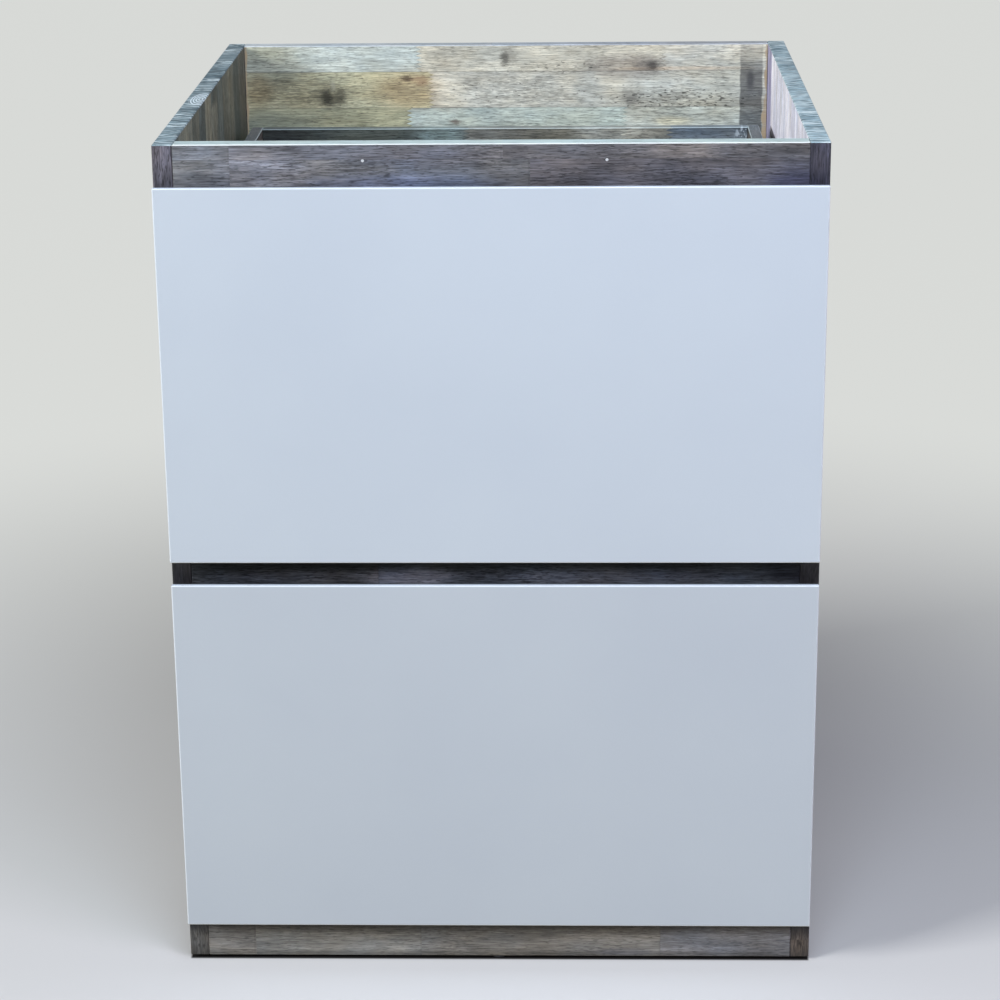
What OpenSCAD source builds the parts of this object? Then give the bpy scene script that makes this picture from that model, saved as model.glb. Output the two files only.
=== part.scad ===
// Two-drawer kitchen base unit in stained edge-glued hardwood, with handleless lacquered fronts.
// The top is open for a worktop or a sink. Sizes are in millimetres and +Z is up.
// The drawers open towards -Y, and +X is to the right seen from the front.
// The origin lies on the floor, at the middle of the overall width and depth.

/* [Unit] */
// Overall width
unit_w = 600; // [500:10:1000]
// Overall height, with the floor glides
unit_h = 800; // [780:10:900]
// Free depth between the drawers and the back panel, for pipes and cables
service_gap = 59; // [30:1:120]

/* [Carcass boards] */
// Thickness of the two side panels
side_t = 18; // [16:1:22]
// Thickness of the back panel
back_t = 18; // [16:1:22]
// Thickness of the bottom panel
bottom_t = 18; // [16:1:22]
// Thickness of the three front rails
rail_t = 18; // [16:1:22]
// Height of the top front rail
top_rail_h = 60; // [50:1:70]
// Height of the middle front rail
middle_rail_h = 60; // [46:1:70]
// Height of the plinth rail, which is also the top of the bottom panel
plinth_rail_h = 60; // [54:1:70]
// Chamfer that eases the edges of the wooden boards
ease = 0.8; // [0.3:0.1:1.2]

/* [Drawer fronts] */
// Thickness of the drawer fronts
front_t = 19; // [18:1:22]
// Gap between the back of a front and the edges of the carcass
front_gap = 2; // [1.5:0.5:4]
// How far a front stays inside the unit's side, on each side
front_inset = 1.5; // [1:0.5:3]
// Height of the lower front
lower_front_h = 347; // [300:1:360]
// Height of the open gap between the two fronts
finger_gap = 22; // [18:1:30]
// Height of the carcass seen below the lower front
plinth_show = 43; // [34:1:50]
// Height of the carcass seen above the upper front
top_show = 35; // [30:1:45]
// Thickness left at the top of the bevelled finger pull
pull_land = 4.5; // [3:0.5:10]
// Height of the bevel of the finger pull
pull_drop = 25; // [15:1:35]
// Radius on the lacquered edges
front_r = 1.2; // [0.8:0.1:2.5]

/* [Drawer boxes] */
// Thickness of the sides, the back and the inner front of a drawer box
box_t = 12; // [11:1:15]
// Height of a box's lower edge above the board below it
box_lift = 14; // [8:1:24]
// Height from a box's rim to the rail above it
rim_clear = 17; // [10:1:28]
// Thickness of the drawer's bottom panel
tray_t = 8; // [6:1:10]
// Height of the bottom panel above a box's lower edge
tray_lift = 12; // [8:1:20]
// Depth of the groove that holds the bottom panel
groove_d = 6; // [4:0.5:7]
// Gap between the bottom panel's edge and the end of its groove
groove_play = 0.5; // [0.3:0.1:1]
// Height of the lowest dowel above a box's lower edge
pin_low = 45; // [35:1:60]
// Distance from the highest dowel to a box's rim
pin_high = 35; // [20:1:60]
// Height of the front's lower screws above a box's lower edge
front_screw_low = 60; // [45:1:90]
// Distance from the front's upper screws to a box's rim
front_screw_high = 60; // [40:1:90]
// Distance from the front's screws to the sides of the box
front_screw_inset = 55; // [40:1:100]

/* [Drawer slides] */
// Length of a slide, which is also how far a drawer opens
slide_len = 500; // [350:50:600]
// Space that a slide takes between the box and the side panel
slide_t = 12.7; // [12.4:0.1:13.4]
// Height of a slide
slide_h = 45.4; // [44:0.2:48]
// Distance of a slide's front end behind the carcass's front edge
slide_setback = 2; // [1:0.5:5]
// Height of a slide's middle above the lower edge of the box
slide_rise = 90; // [70:5:130]
// Thickness of the steel of the slides
gauge = 1.2; // [1:0.1:1.3]
// Space between the webs of two members, where the cage of balls runs
web_space = 1; // [0.9:0.1:1.2]
// Amount by which the middle member is shorter than the others
member_short = 12; // [8:1:20]
// Diameter of the bearing balls
ball_d = 3.2; // [3:0.1:3.4]
// Balls in a row of a cage
ball_count = 5; // [3:1:8]
// Distance from the first ball to the end of its cage
ball_inset = 12; // [6:1:20]
// Running clearance round a ball
ball_play = 0.05; // [0.03:0.01:0.08]
// Distance from the middle member's web to its outer ball race
race_bend = 0.55; // [0.4:0.05:0.6]
// Height of the outer member's flange above the middle of its balls
flange_rise = 0.5; // [0.4:0.05:0.6]
// Distance from the middle of the outer balls down to the edge of the middle member's web
web_drop = 1.2; // [1:0.1:1.4]
// Thickness of the cage strips
cage_t = 0.5; // [0.3:0.1:0.6]
// Width of a cage strip beyond its ball holes
cage_edge = 0.5; // [0.3:0.1:0.6]
// Space between the middle member's web and the inner cage
cage_gap = 0.4; // [0.2:0.1:0.5]
// Distance that a cage keeps from the ends of the members when the drawer is open
cage_margin = 25; // [20:1:40]
// Width of the end buffers in the outer members
buffer_h = 26; // [16:1:30]
// Thickness of the end buffers
buffer_t = 3; // [2:0.1:3.4]
// Gap between an end buffer and the middle member
buffer_gap = 0.5; // [0.3:0.1:1]
// Diameter of an end buffer's peg
peg_d = 4; // [3:0.5:5]

/* [Fasteners and glides] */
// Diameter of the dowels of the carcass
dowel_d = 8; // [6:1:10]
// Length of the dowels of the carcass
dowel_len = 30; // [24:1:40]
// Depth to which a dowel sits in a side panel
dowel_seat = 10; // [8:1:13]
// Distance from the ends of the bottom panel and the back panel to their first dowel
dowel_margin = 50; // [30:5:80]
// Chamfer at the ends of the dowels
dowel_chamfer = 0.8; // [0.4:0.1:1]
// Diameter of the dowels of the drawer boxes
pin_d = 5; // [4:1:6]
// Length of the dowels of the drawer boxes
pin_len = 25; // [20:1:35]
// Depth to which a box's dowel sits in its side
pin_seat = 7; // [5:1:8]
// Diameter of the screws' shanks
screw_d = 4; // [3:0.5:4.5]
// Diameter of the screws' heads
head_d = 8; // [7:0.5:9]
// Height of a pan head
head_h = 2; // [1.5:0.1:2.4]
// Length of a screw's point
screw_point = 2.5; // [1.5:0.1:3]
// Length of the arms of the cross recess in a head
recess_l = 3.4; // [2.4:0.1:4]
// Width of the cross recess
recess_w = 0.8; // [0.6:0.1:1]
// Depth of the cross recess
recess_d = 1.1; // [0.8:0.1:1.3]
// Depth of the screws in the drawer fronts
front_bite = 12; // [8:1:14]
// Length of the countersunk screws that hold the slides to the side panels
cabinet_screw_len = 14; // [10:1:15]
// Length of the pan head screws that hold the slides to the drawer boxes
box_screw_len = 9; // [7:0.5:10]
// Distance from a slide's end to its first screw
screw_inset = 35; // [25:5:60]
// Diameter of the rubber bumpers on the fronts
bumper_d = 8; // [6:1:10]
// Height of the lower bumpers above a front's lower edge
bumper_low = 30; // [15:1:60]
// Distance from the upper bumpers to the bevel above them
bumper_high = 20; // [10:1:40]
// Height of the floor glides
glide_h = 3; // [3:0.5:6]
// Diameter of the floor glides
glide_d = 15; // [12:1:16]
// Chamfer round the foot of a floor glide
glide_chamfer = 0.8; // [0.4:0.1:1.2]
// Diameter of a floor glide's pin
glide_pin_d = 2.4; // [2:0.1:3]
// Length of a floor glide's pin in the board above it
glide_pin_len = 12; // [8:1:14]
// Distance of the glides from the front and the back of the side panels
glide_inset = 40; // [20:5:80]
// Diameter of the two filled pin holes in the top rail
filler_d = 2.6; // [2:0.1:4]
// Distance between the two filled pin holes
filler_pitch = 216; // [100:2:300]
// How far to the left of the middle the pair of filled pin holes lies
filler_shift = 5; // [0:1:20]
// Distance from the filled pin holes up to the top edge
filler_drop = 15; // [10:1:20]
// Depth of the filled pin holes
filler_len = 6; // [3:1:12]
// Clearance round dowels, screws and other fitted pieces
play = 0.1; // [0.05:0.05:0.2]
// Depth that a blind hole has beyond what sits in it
spare_depth = 0.5; // [0.2:0.1:0.8]

/* [Hidden] */
$fn = 48;

stained_wood = "#77767b";
stained_inside = "#8f928a";
lacquer = "#c2ced9";
box_wood = "#6a6862";
tray_wood = "#8a857a";
zinc = "#b9bcc0";
dowel_wood = "#c9ad82";
black_plastic = "#26272a";
clear_rubber = "#b7bcbc";
filler_paste = "#e8e6e0";
ball_steel = "#d8dadc";
cage_brass = "#b3a27a";

// Overall depth, with the drawer fronts
unit_d = front_t + front_gap + slide_setback + slide_len + service_gap + back_t;

// Main planes
fronts_y = -unit_d / 2;
front_back_y = fronts_y + front_t;
face_y = front_back_y + front_gap;
rear_y = unit_d / 2;
back_y = rear_y - back_t;
behind_rail_y = face_y + rail_t;
inner_half = unit_w / 2 - side_t;
side_mid_x = unit_w / 2 - side_t / 2;

// Heights of the fronts and of the carcass boards
lower_front_z = glide_h + plinth_show;
upper_front_z = lower_front_z + lower_front_h + finger_gap;
upper_front_h = unit_h - top_show - upper_front_z;
front_w = unit_w - 2 * front_inset;
bottom_top_z = glide_h + plinth_rail_h;
middle_z = upper_front_z - finger_gap / 2;
middle_low_z = middle_z - middle_rail_h / 2;
middle_top_z = middle_z + middle_rail_h / 2;
top_rail_z = unit_h - top_rail_h;

// Drawer boxes
box_half = inner_half - slide_t;
box_in_half = box_half - box_t;
box_rear_y = face_y + slide_setback + slide_len;
lower_box_z = bottom_top_z + box_lift;
lower_rim_z = middle_low_z - rim_clear;
upper_box_z = middle_top_z + box_lift;
upper_rim_z = top_rail_z - rim_clear;
front_screw_x = box_in_half - front_screw_inset;

// Slides: the section is drawn from the side panel at 0 to the drawer box at slide_t
slide_y = face_y + slide_setback;
middle_len = slide_len - member_short;
race_r = ball_d / 2 + ball_play;
race_out = race_r + gauge;
middle_x = gauge + web_space;
outer_ball_x = middle_x + gauge + race_r + race_bend;
outer_ball_z = slide_h / 2 - race_out;
ball_step = 2 * race_r + gauge;
race_turn = 60;
inner_ball_x = outer_ball_x + ball_step * cos(race_turn);
inner_ball_z = outer_ball_z - ball_step * sin(race_turn);
outer_cage_x = gauge + (web_space - cage_t) / 2;
inner_cage_x = middle_x + gauge + cage_gap;
cage_len = slide_len / 2 - 2 * cage_margin;
cage_y = slide_y + (middle_len - cage_len) / 2;
cage_reach = race_r + cage_edge;
ball_pitch = (cage_len - 2 * ball_inset) / (ball_count - 1);
outer_web_half = outer_ball_z + flange_rise + gauge;
middle_web_half = outer_ball_z - web_drop;
inner_web_half = inner_ball_z - race_r;
screw_spots = [screw_inset, slide_len / 2, slide_len - screw_inset];
csk_h = (head_d - screw_d) / 2;
buffer_y = slide_y + middle_len + buffer_gap;
buffer_len = member_short - 2 * buffer_gap;

// Dowels of the carcass, as places across the inner face of a side panel
rail_mid_y = face_y + rail_t / 2;
back_mid_y = rear_y - back_t / 2;
bottom_mid_z = bottom_top_z - bottom_t / 2;
top_rail_dowels = [for (k = [1, 3]) [rail_mid_y, top_rail_z + top_rail_h * k / 4]];
middle_rail_dowels = [for (k = [1, 3]) [rail_mid_y, middle_low_z + middle_rail_h * k / 4]];
plinth_rail_dowels = [for (k = [1, 3]) [rail_mid_y, glide_h + plinth_rail_h * k / 4]];
function spread(low, high, k) = low + dowel_margin + (high - low - 2 * dowel_margin) * k;
bottom_dowels = [for (k = [0:3]) [spread(behind_rail_y, back_y, k / 3), bottom_mid_z]];
back_dowels = [for (k = [0:5]) [back_mid_y, spread(glide_h, unit_h, k / 5)]];
all_dowels = concat(top_rail_dowels, middle_rail_dowels, plinth_rail_dowels, bottom_dowels, back_dowels);

// Floor glides, as places in plan
glide_spots = [
    [-side_mid_x, face_y + glide_inset], [side_mid_x, face_y + glide_inset],
    [-side_mid_x, rear_y - glide_inset], [side_mid_x, rear_y - glide_inset],
    [0, rail_mid_y], [0, back_mid_y]
];
filler_x = [-filler_pitch / 2 - filler_shift, filler_pitch / 2 - filler_shift];

// Shapes that several pieces share. Cutters reach 1 mm past the faces that they open.

module cut_corners(w, h, c) {
    polygon([[c, 0], [w - c, 0], [w, c], [w, h - c], [w - c, h], [c, h], [0, h - c], [0, c]]);
}

// A wooden board between two corners, with all its edges eased
module board(low, high) {
    size = high - low;
    translate(low) intersection() {
        linear_extrude(size.z) cut_corners(size.x, size.y, ease);
        translate([0, size.y, 0]) rotate([90, 0, 0]) linear_extrude(size.y) cut_corners(size.x, size.z, ease);
        rotate([90, 0, 90]) linear_extrude(size.x) cut_corners(size.y, size.z, ease);
    }
}

module round_corners(w, h, r) {
    translate([r, 0]) square([w - 2 * r, h]);
    translate([0, r]) square([w, h - 2 * r]);
    for (x = [r, w - r], y = [r, h - r]) translate([x, y]) circle(r);
}

module on_left() {
    translate([-inner_half, 0, 0]) children();
}

module on_right() {
    mirror([1, 0, 0]) on_left() children();
}

// A bore or a rod along X, from x for a length
module rod_x(x, y, z, d, len) {
    translate([x, y, z]) rotate([0, 90, 0]) cylinder(d = d, h = len);
}

module rod_y(x, y, z, d, len) {
    translate([x, y, z]) rotate([-90, 0, 0]) cylinder(d = d, h = len);
}

// A screw that points down -Z, with its seat at the origin
module screw(len, countersunk) {
    neck = countersunk ? csk_h : 0;
    head = countersunk ? [[head_d / 2, 0], [0, 0]]
        : [[head_d / 2, 0], [head_d / 2, head_h * 0.5], [head_d * 0.36, head_h], [0, head_h]];
    shank = [[0, -len], [screw_d * 0.1, -len], [screw_d / 2, screw_point - len], [screw_d / 2, -neck]];
    recess_z = (countersunk ? 0 : head_h) - recess_d;
    difference() {
        rotate_extrude() polygon(concat(shank, head));
        for (turn = [0, 90]) rotate([0, 0, turn])
            translate([-recess_l / 2, -recess_w / 2, recess_z]) cube([recess_l, recess_w, recess_d + 1]);
    }
}

// Carcass

// The dowel holes of one side panel, which is drawn on the left
module side_dowel_holes() {
    depth = dowel_seat + spare_depth;
    for (p = all_dowels) rod_x(-inner_half - depth, p.x, p.y, dowel_d + 2 * play, depth + 1);
}

// The holes for the cabinet screws of both slides, with their countersinks
module side_screw_holes() {
    for (z = [lower_slide_z, upper_slide_z], s = screw_spots)
        translate([-inner_half + gauge, slide_y + s, z]) rotate([0, 90, 0]) screw_hole(cabinet_screw_len);
}

module screw_hole(len) {
    translate([0, 0, -len - spare_depth]) cylinder(d = screw_d + 2 * play, h = len + spare_depth);
    translate([0, 0, -csk_h]) cylinder(d1 = screw_d + 2 * play, d2 = head_d + 2 * play, h = csk_h);
    cylinder(d = head_d + 2 * play, h = 1);
}

module glide_holes() {
    for (p = glide_spots) translate([p.x, p.y, glide_h - 1])
        cylinder(d = glide_pin_d + 2 * play, h = glide_pin_len + spare_depth + 1);
}

module side_panel() {
    difference() {
        board([-unit_w / 2, face_y, glide_h], [-inner_half, rear_y, unit_h]);
        side_dowel_holes();
        side_screw_holes();
        glide_holes();
    }
}

module left_side_panel() color(stained_wood) side_panel();

module right_side_panel() color(stained_wood) mirror([1, 0, 0]) side_panel();

// The holes in both ends of a board that lies between the side panels
module end_holes(spots) {
    depth = dowel_len - dowel_seat + spare_depth;
    for (p = spots, turn = [0, 1]) mirror([turn, 0, 0])
        rod_x(-inner_half - 1, p.x, p.y, dowel_d + 2 * play, depth + 1);
}

module back_panel() color(stained_inside) difference() {
    board([-inner_half, back_y, glide_h], [inner_half, rear_y, unit_h]);
    end_holes(back_dowels);
    glide_holes();
}

module bottom_panel() color(stained_inside) difference() {
    board([-inner_half, behind_rail_y, bottom_top_z - bottom_t], [inner_half, back_y, bottom_top_z]);
    end_holes(bottom_dowels);
}

module front_rail(z, h, spots) {
    difference() {
        board([-inner_half, face_y, z], [inner_half, behind_rail_y, z + h]);
        end_holes(spots);
    }
}

module top_front_rail() color(stained_wood) difference() {
    front_rail(top_rail_z, top_rail_h, top_rail_dowels);
    for (x = filler_x)
        rod_y(x, face_y - 1, unit_h - filler_drop, filler_d + play, filler_len + spare_depth + 1);
}

module middle_front_rail() color(stained_wood)
    front_rail(middle_low_z, middle_rail_h, middle_rail_dowels);

module plinth_rail() color(stained_wood) difference() {
    front_rail(glide_h, plinth_rail_h, plinth_rail_dowels);
    glide_holes();
}

module dowel(d, len) {
    end_d = d - 2 * dowel_chamfer;
    rotate([0, 90, 0]) {
        cylinder(d1 = end_d, d2 = d, h = dowel_chamfer);
        translate([0, 0, dowel_chamfer]) cylinder(d = d, h = len - 2 * dowel_chamfer);
        translate([0, 0, len - dowel_chamfer]) cylinder(d1 = d, d2 = end_d, h = dowel_chamfer);
    }
}

module carcass_dowels() color(dowel_wood) for (p = all_dowels, turn = [0, 1]) mirror([turn, 0, 0])
    translate([-inner_half - dowel_seat, p.x, p.y]) dowel(dowel_d, dowel_len);

module floor_glides() color(black_plastic) for (p = glide_spots) translate([p.x, p.y, 0]) {
    cylinder(d1 = glide_d - 2 * glide_chamfer, d2 = glide_d, h = glide_chamfer);
    translate([0, 0, glide_chamfer]) cylinder(d = glide_d, h = glide_h - glide_chamfer);
    cylinder(d = glide_pin_d, h = glide_h + glide_pin_len);
}

module rail_pin_fillings() color(filler_paste) for (x = filler_x)
    rod_y(x, face_y, unit_h - filler_drop, filler_d, filler_len);

// Drawer boxes

lower_slide_z = lower_box_z + slide_rise;
upper_slide_z = upper_box_z + slide_rise;

// Places of the dowels and of the front's screws, as heights in a box from z to rim
function pin_heights(z, rim) = [z + pin_low, (z + pin_low + rim - pin_high) / 2, rim - pin_high];
function screw_heights(z, rim) = [z + front_screw_low, rim - front_screw_high];

module tray_groove(z) {
    reach = box_in_half + groove_d;
    translate([-reach, front_back_y + box_t - groove_d, z + tray_lift])
        cube([2 * reach, box_rear_y - front_back_y - 2 * (box_t - groove_d), tray_t + 2 * play]);
}

// The left side of a box; the right side is its mirror image
module box_side(z, rim) {
    difference() {
        board([-box_half, front_back_y, z], [-box_in_half, box_rear_y, rim]);
        tray_groove(z);
        for (y = [front_back_y + box_t / 2, box_rear_y - box_t / 2], h = pin_heights(z, rim))
            rod_x(-box_in_half - pin_seat - spare_depth, y, h, pin_d + 2 * play, pin_seat + spare_depth + 1);
        for (s = screw_spots) rod_x(-box_half - 1, slide_y + s, z + slide_rise, screw_d + 2 * play,
            box_screw_len - gauge + spare_depth + 1);
    }
}

// The inner front or the back of a box, between its sides, with its front face at y
module box_end(y, z, rim) {
    difference() {
        board([-box_in_half, y, z], [box_in_half, y + box_t, rim]);
        tray_groove(z);
        for (h = pin_heights(z, rim), turn = [0, 1]) mirror([turn, 0, 0])
            rod_x(-box_in_half - 1, y + box_t / 2, h, pin_d + 2 * play, pin_len - pin_seat + spare_depth + 1);
    }
}

module inner_front(z, rim) {
    difference() {
        box_end(front_back_y, z, rim);
        for (x = [-front_screw_x, front_screw_x], h = screw_heights(z, rim))
            rod_y(x, front_back_y - 1, h, screw_d + 2 * play, box_t + 2);
    }
}

module tray(z) {
    reach = box_in_half + groove_d - groove_play;
    inset = box_t - groove_d + groove_play;
    board([-reach, front_back_y + inset, z + tray_lift], [reach, box_rear_y - inset, z + tray_lift + tray_t]);
}

module box_dowels(z, rim) {
    for (y = [front_back_y + box_t / 2, box_rear_y - box_t / 2], h = pin_heights(z, rim), turn = [0, 1])
        mirror([turn, 0, 0]) translate([-box_in_half - pin_seat, y, h]) dowel(pin_d, pin_len);
}

// A lacquered front with a bevelled finger pull along its top, from z for a height of h
module drawer_front(z, h, box_z, rim) {
    bore_len = front_bite + spare_depth;
    difference() {
        translate([-front_w / 2, fronts_y, z]) intersection() {
            rotate([90, 0, 90]) linear_extrude(front_w) difference() {
                round_corners(front_t, h, front_r);
                polygon([[pull_land, h + 1], [pull_land, h], [front_t, h - pull_drop],
                    [front_t + 1, h - pull_drop], [front_t + 1, h + 1]]);
            }
            translate([0, front_t, 0]) rotate([90, 0, 0]) linear_extrude(front_t)
                round_corners(front_w, h, front_r);
            linear_extrude(h) round_corners(front_w, front_t, front_r);
        }
        for (x = [-front_screw_x, front_screw_x], s = screw_heights(box_z, rim))
            rod_y(x, front_back_y - bore_len, s, screw_d + 2 * play, bore_len + 1);
    }
}

module front_screws(z, rim) {
    for (x = [-front_screw_x, front_screw_x], h = screw_heights(z, rim))
        translate([x, front_back_y + box_t, h]) rotate([-90, 0, 0]) screw(box_t + front_bite, false);
}

module bumpers(z, h) {
    for (x = [-side_mid_x, side_mid_x], s = [z + bumper_low, z + h - pull_drop - bumper_high])
        rod_y(x, front_back_y, s, bumper_d, front_gap - play);
}

// Slides, each drawn on the left between the side panel at x = 0 and the box at slide_t

// A stretch of a ball race, round a ball's centre and between two angles
module race(x, z, from, to) {
    translate([x, z]) intersection() {
        difference() {
            circle(race_out);
            circle(race_r);
        }
        polygon(concat([[0, 0]], [for (k = [0:4]) 2 * race_out * [
            cos(from + (to - from) * k / 4), sin(from + (to - from) * k / 4)]]));
    }
}

module run_along(y, len) {
    translate([0, y + len, 0]) rotate([90, 0, 0]) linear_extrude(len) children();
}

module both_ways() {
    children();
    mirror([0, 1]) children();
}

module cabinet_member(z) {
    translate([0, 0, z]) difference() {
        run_along(slide_y, slide_len) {
            translate([0, -outer_web_half]) square([gauge, 2 * outer_web_half]);
            both_ways() {
                translate([0, outer_ball_z + flange_rise]) square([outer_ball_x - race_r, gauge]);
                race(outer_ball_x, outer_ball_z, 20, 150);
            }
        }
        for (s = screw_spots) translate([gauge, slide_y + s, 0]) rotate([0, 90, 0])
            screw_hole(cabinet_screw_len);
        rod_x(-1, buffer_y + buffer_len / 2, 0, peg_d + 2 * play, gauge + 2);
    }
}

// The buffer at the rear end of an outer member, which stops the middle member
module end_buffer(z) {
    translate([gauge, buffer_y, z - buffer_h / 2]) cube([buffer_t, buffer_len, buffer_h]);
    rod_x(play, buffer_y + buffer_len / 2, z, peg_d, gauge + buffer_t - play);
}

module middle_member(z) {
    translate([0, 0, z]) difference() {
        run_along(slide_y, middle_len) {
            translate([middle_x, -middle_web_half]) square([gauge, 2 * middle_web_half]);
            both_ways() {
                race(outer_ball_x, outer_ball_z, 205, 306);
                race(inner_ball_x, inner_ball_z, 20, 126);
            }
        }
        for (s = screw_spots) rod_x(middle_x - 1, slide_y + s, 0, head_d + 2, gauge + 2);
    }
}

module box_member(z) {
    translate([0, 0, z]) difference() {
        run_along(slide_y, slide_len) {
            translate([slide_t - gauge, -inner_web_half]) square([gauge, 2 * inner_web_half]);
            both_ways() {
                translate([inner_ball_x, inner_web_half - gauge]) square([slide_t - inner_ball_x, gauge]);
                race(inner_ball_x, inner_ball_z, 200, 272);
            }
        }
        for (s = screw_spots) rod_x(slide_t - gauge - 1, slide_y + s, 0, screw_d + 2 * play, gauge + 2);
    }
}

// A strip that holds two rows of balls, with its web at x and its balls at ball_x and ball_z
module cage(z, x, ball_x, ball_z) {
    half = ball_z + cage_t / 2;
    translate([0, 0, z]) difference() {
        run_along(cage_y, cage_len) difference() {
            translate([x, -half]) square([ball_x + cage_reach - x, 2 * half]);
            translate([x + cage_t, cage_t - half]) square([ball_x + cage_reach, 2 * (half - cage_t)]);
        }
        for (k = [0:ball_count - 1], way = [-1, 1])
            translate([ball_x, cage_y + ball_inset + k * ball_pitch, way * ball_z - 1])
                cylinder(d = ball_d + 2 * ball_play, h = 2);
    }
}

module balls(z, ball_x, ball_z) {
    for (k = [0:ball_count - 1], way = [-1, 1])
        translate([ball_x, cage_y + ball_inset + k * ball_pitch, z + way * ball_z]) sphere(d = ball_d);
}

module outer_cage(z) {
    cage(z, outer_cage_x, outer_ball_x, outer_ball_z);
}

module inner_cage(z) {
    cage(z, inner_cage_x, inner_ball_x, inner_ball_z);
}

module outer_balls(z) {
    on_left() balls(z, outer_ball_x, outer_ball_z);
    on_right() balls(z, outer_ball_x, outer_ball_z);
}

module inner_balls(z) {
    on_left() balls(z, inner_ball_x, inner_ball_z);
    on_right() balls(z, inner_ball_x, inner_ball_z);
}

module cabinet_screws(z) {
    for (s = screw_spots) translate([gauge, slide_y + s, z]) rotate([0, 90, 0])
        screw(cabinet_screw_len, true);
}

module box_screws(z) {
    for (s = screw_spots) translate([slide_t - gauge, slide_y + s, z]) rotate([0, -90, 0])
        screw(box_screw_len, false);
}

module upper_left_slide_outer() color(zinc) on_left() cabinet_member(upper_slide_z);
module upper_right_slide_outer() color(zinc) on_right() cabinet_member(upper_slide_z);
module lower_left_slide_outer() color(zinc) on_left() cabinet_member(lower_slide_z);
module lower_right_slide_outer() color(zinc) on_right() cabinet_member(lower_slide_z);
module slide_cabinet_screws() color(zinc) for (z = [lower_slide_z, upper_slide_z]) {
    on_left() cabinet_screws(z);
    on_right() cabinet_screws(z);
}
module slide_end_buffers() color(black_plastic) for (z = [lower_slide_z, upper_slide_z]) {
    on_left() end_buffer(z);
    on_right() end_buffer(z);
}

// Upper drawer

module upper_front() color(lacquer) drawer_front(upper_front_z, upper_front_h, upper_box_z, upper_rim_z);
module upper_box_left_side() color(box_wood) box_side(upper_box_z, upper_rim_z);
module upper_box_right_side() color(box_wood) mirror([1, 0, 0]) box_side(upper_box_z, upper_rim_z);
module upper_box_back() color(box_wood) box_end(box_rear_y - box_t, upper_box_z, upper_rim_z);
module upper_box_inner_front() color(box_wood) inner_front(upper_box_z, upper_rim_z);
module upper_box_bottom() color(tray_wood) tray(upper_box_z);
module upper_box_dowels() color(dowel_wood) box_dowels(upper_box_z, upper_rim_z);
module upper_front_screws() color(zinc) front_screws(upper_box_z, upper_rim_z);
module upper_bumpers() color(clear_rubber) bumpers(upper_front_z, upper_front_h);
module upper_left_slide_inner() color(zinc) on_left() box_member(upper_slide_z);
module upper_right_slide_inner() color(zinc) on_right() box_member(upper_slide_z);
module upper_slide_box_screws() color(zinc) {
    on_left() box_screws(upper_slide_z);
    on_right() box_screws(upper_slide_z);
}
module upper_left_slide_middle() color(zinc) on_left() middle_member(upper_slide_z);
module upper_right_slide_middle() color(zinc) on_right() middle_member(upper_slide_z);
module upper_left_outer_cage() color(cage_brass) on_left() outer_cage(upper_slide_z);
module upper_right_outer_cage() color(cage_brass) on_right() outer_cage(upper_slide_z);
module upper_outer_balls() color(ball_steel) outer_balls(upper_slide_z);
module upper_left_inner_cage() color(cage_brass) on_left() inner_cage(upper_slide_z);
module upper_right_inner_cage() color(cage_brass) on_right() inner_cage(upper_slide_z);
module upper_inner_balls() color(ball_steel) inner_balls(upper_slide_z);

// Lower drawer

module lower_front() color(lacquer) drawer_front(lower_front_z, lower_front_h, lower_box_z, lower_rim_z);
module lower_box_left_side() color(box_wood) box_side(lower_box_z, lower_rim_z);
module lower_box_right_side() color(box_wood) mirror([1, 0, 0]) box_side(lower_box_z, lower_rim_z);
module lower_box_back() color(box_wood) box_end(box_rear_y - box_t, lower_box_z, lower_rim_z);
module lower_box_inner_front() color(box_wood) inner_front(lower_box_z, lower_rim_z);
module lower_box_bottom() color(tray_wood) tray(lower_box_z);
module lower_box_dowels() color(dowel_wood) box_dowels(lower_box_z, lower_rim_z);
module lower_front_screws() color(zinc) front_screws(lower_box_z, lower_rim_z);
module lower_bumpers() color(clear_rubber) bumpers(lower_front_z, lower_front_h);
module lower_left_slide_inner() color(zinc) on_left() box_member(lower_slide_z);
module lower_right_slide_inner() color(zinc) on_right() box_member(lower_slide_z);
module lower_slide_box_screws() color(zinc) {
    on_left() box_screws(lower_slide_z);
    on_right() box_screws(lower_slide_z);
}
module lower_left_slide_middle() color(zinc) on_left() middle_member(lower_slide_z);
module lower_right_slide_middle() color(zinc) on_right() middle_member(lower_slide_z);
module lower_left_outer_cage() color(cage_brass) on_left() outer_cage(lower_slide_z);
module lower_right_outer_cage() color(cage_brass) on_right() outer_cage(lower_slide_z);
module lower_outer_balls() color(ball_steel) outer_balls(lower_slide_z);
module lower_left_inner_cage() color(cage_brass) on_left() inner_cage(lower_slide_z);
module lower_right_inner_cage() color(cage_brass) on_right() inner_cage(lower_slide_z);
module lower_inner_balls() color(ball_steel) inner_balls(lower_slide_z);

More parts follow.
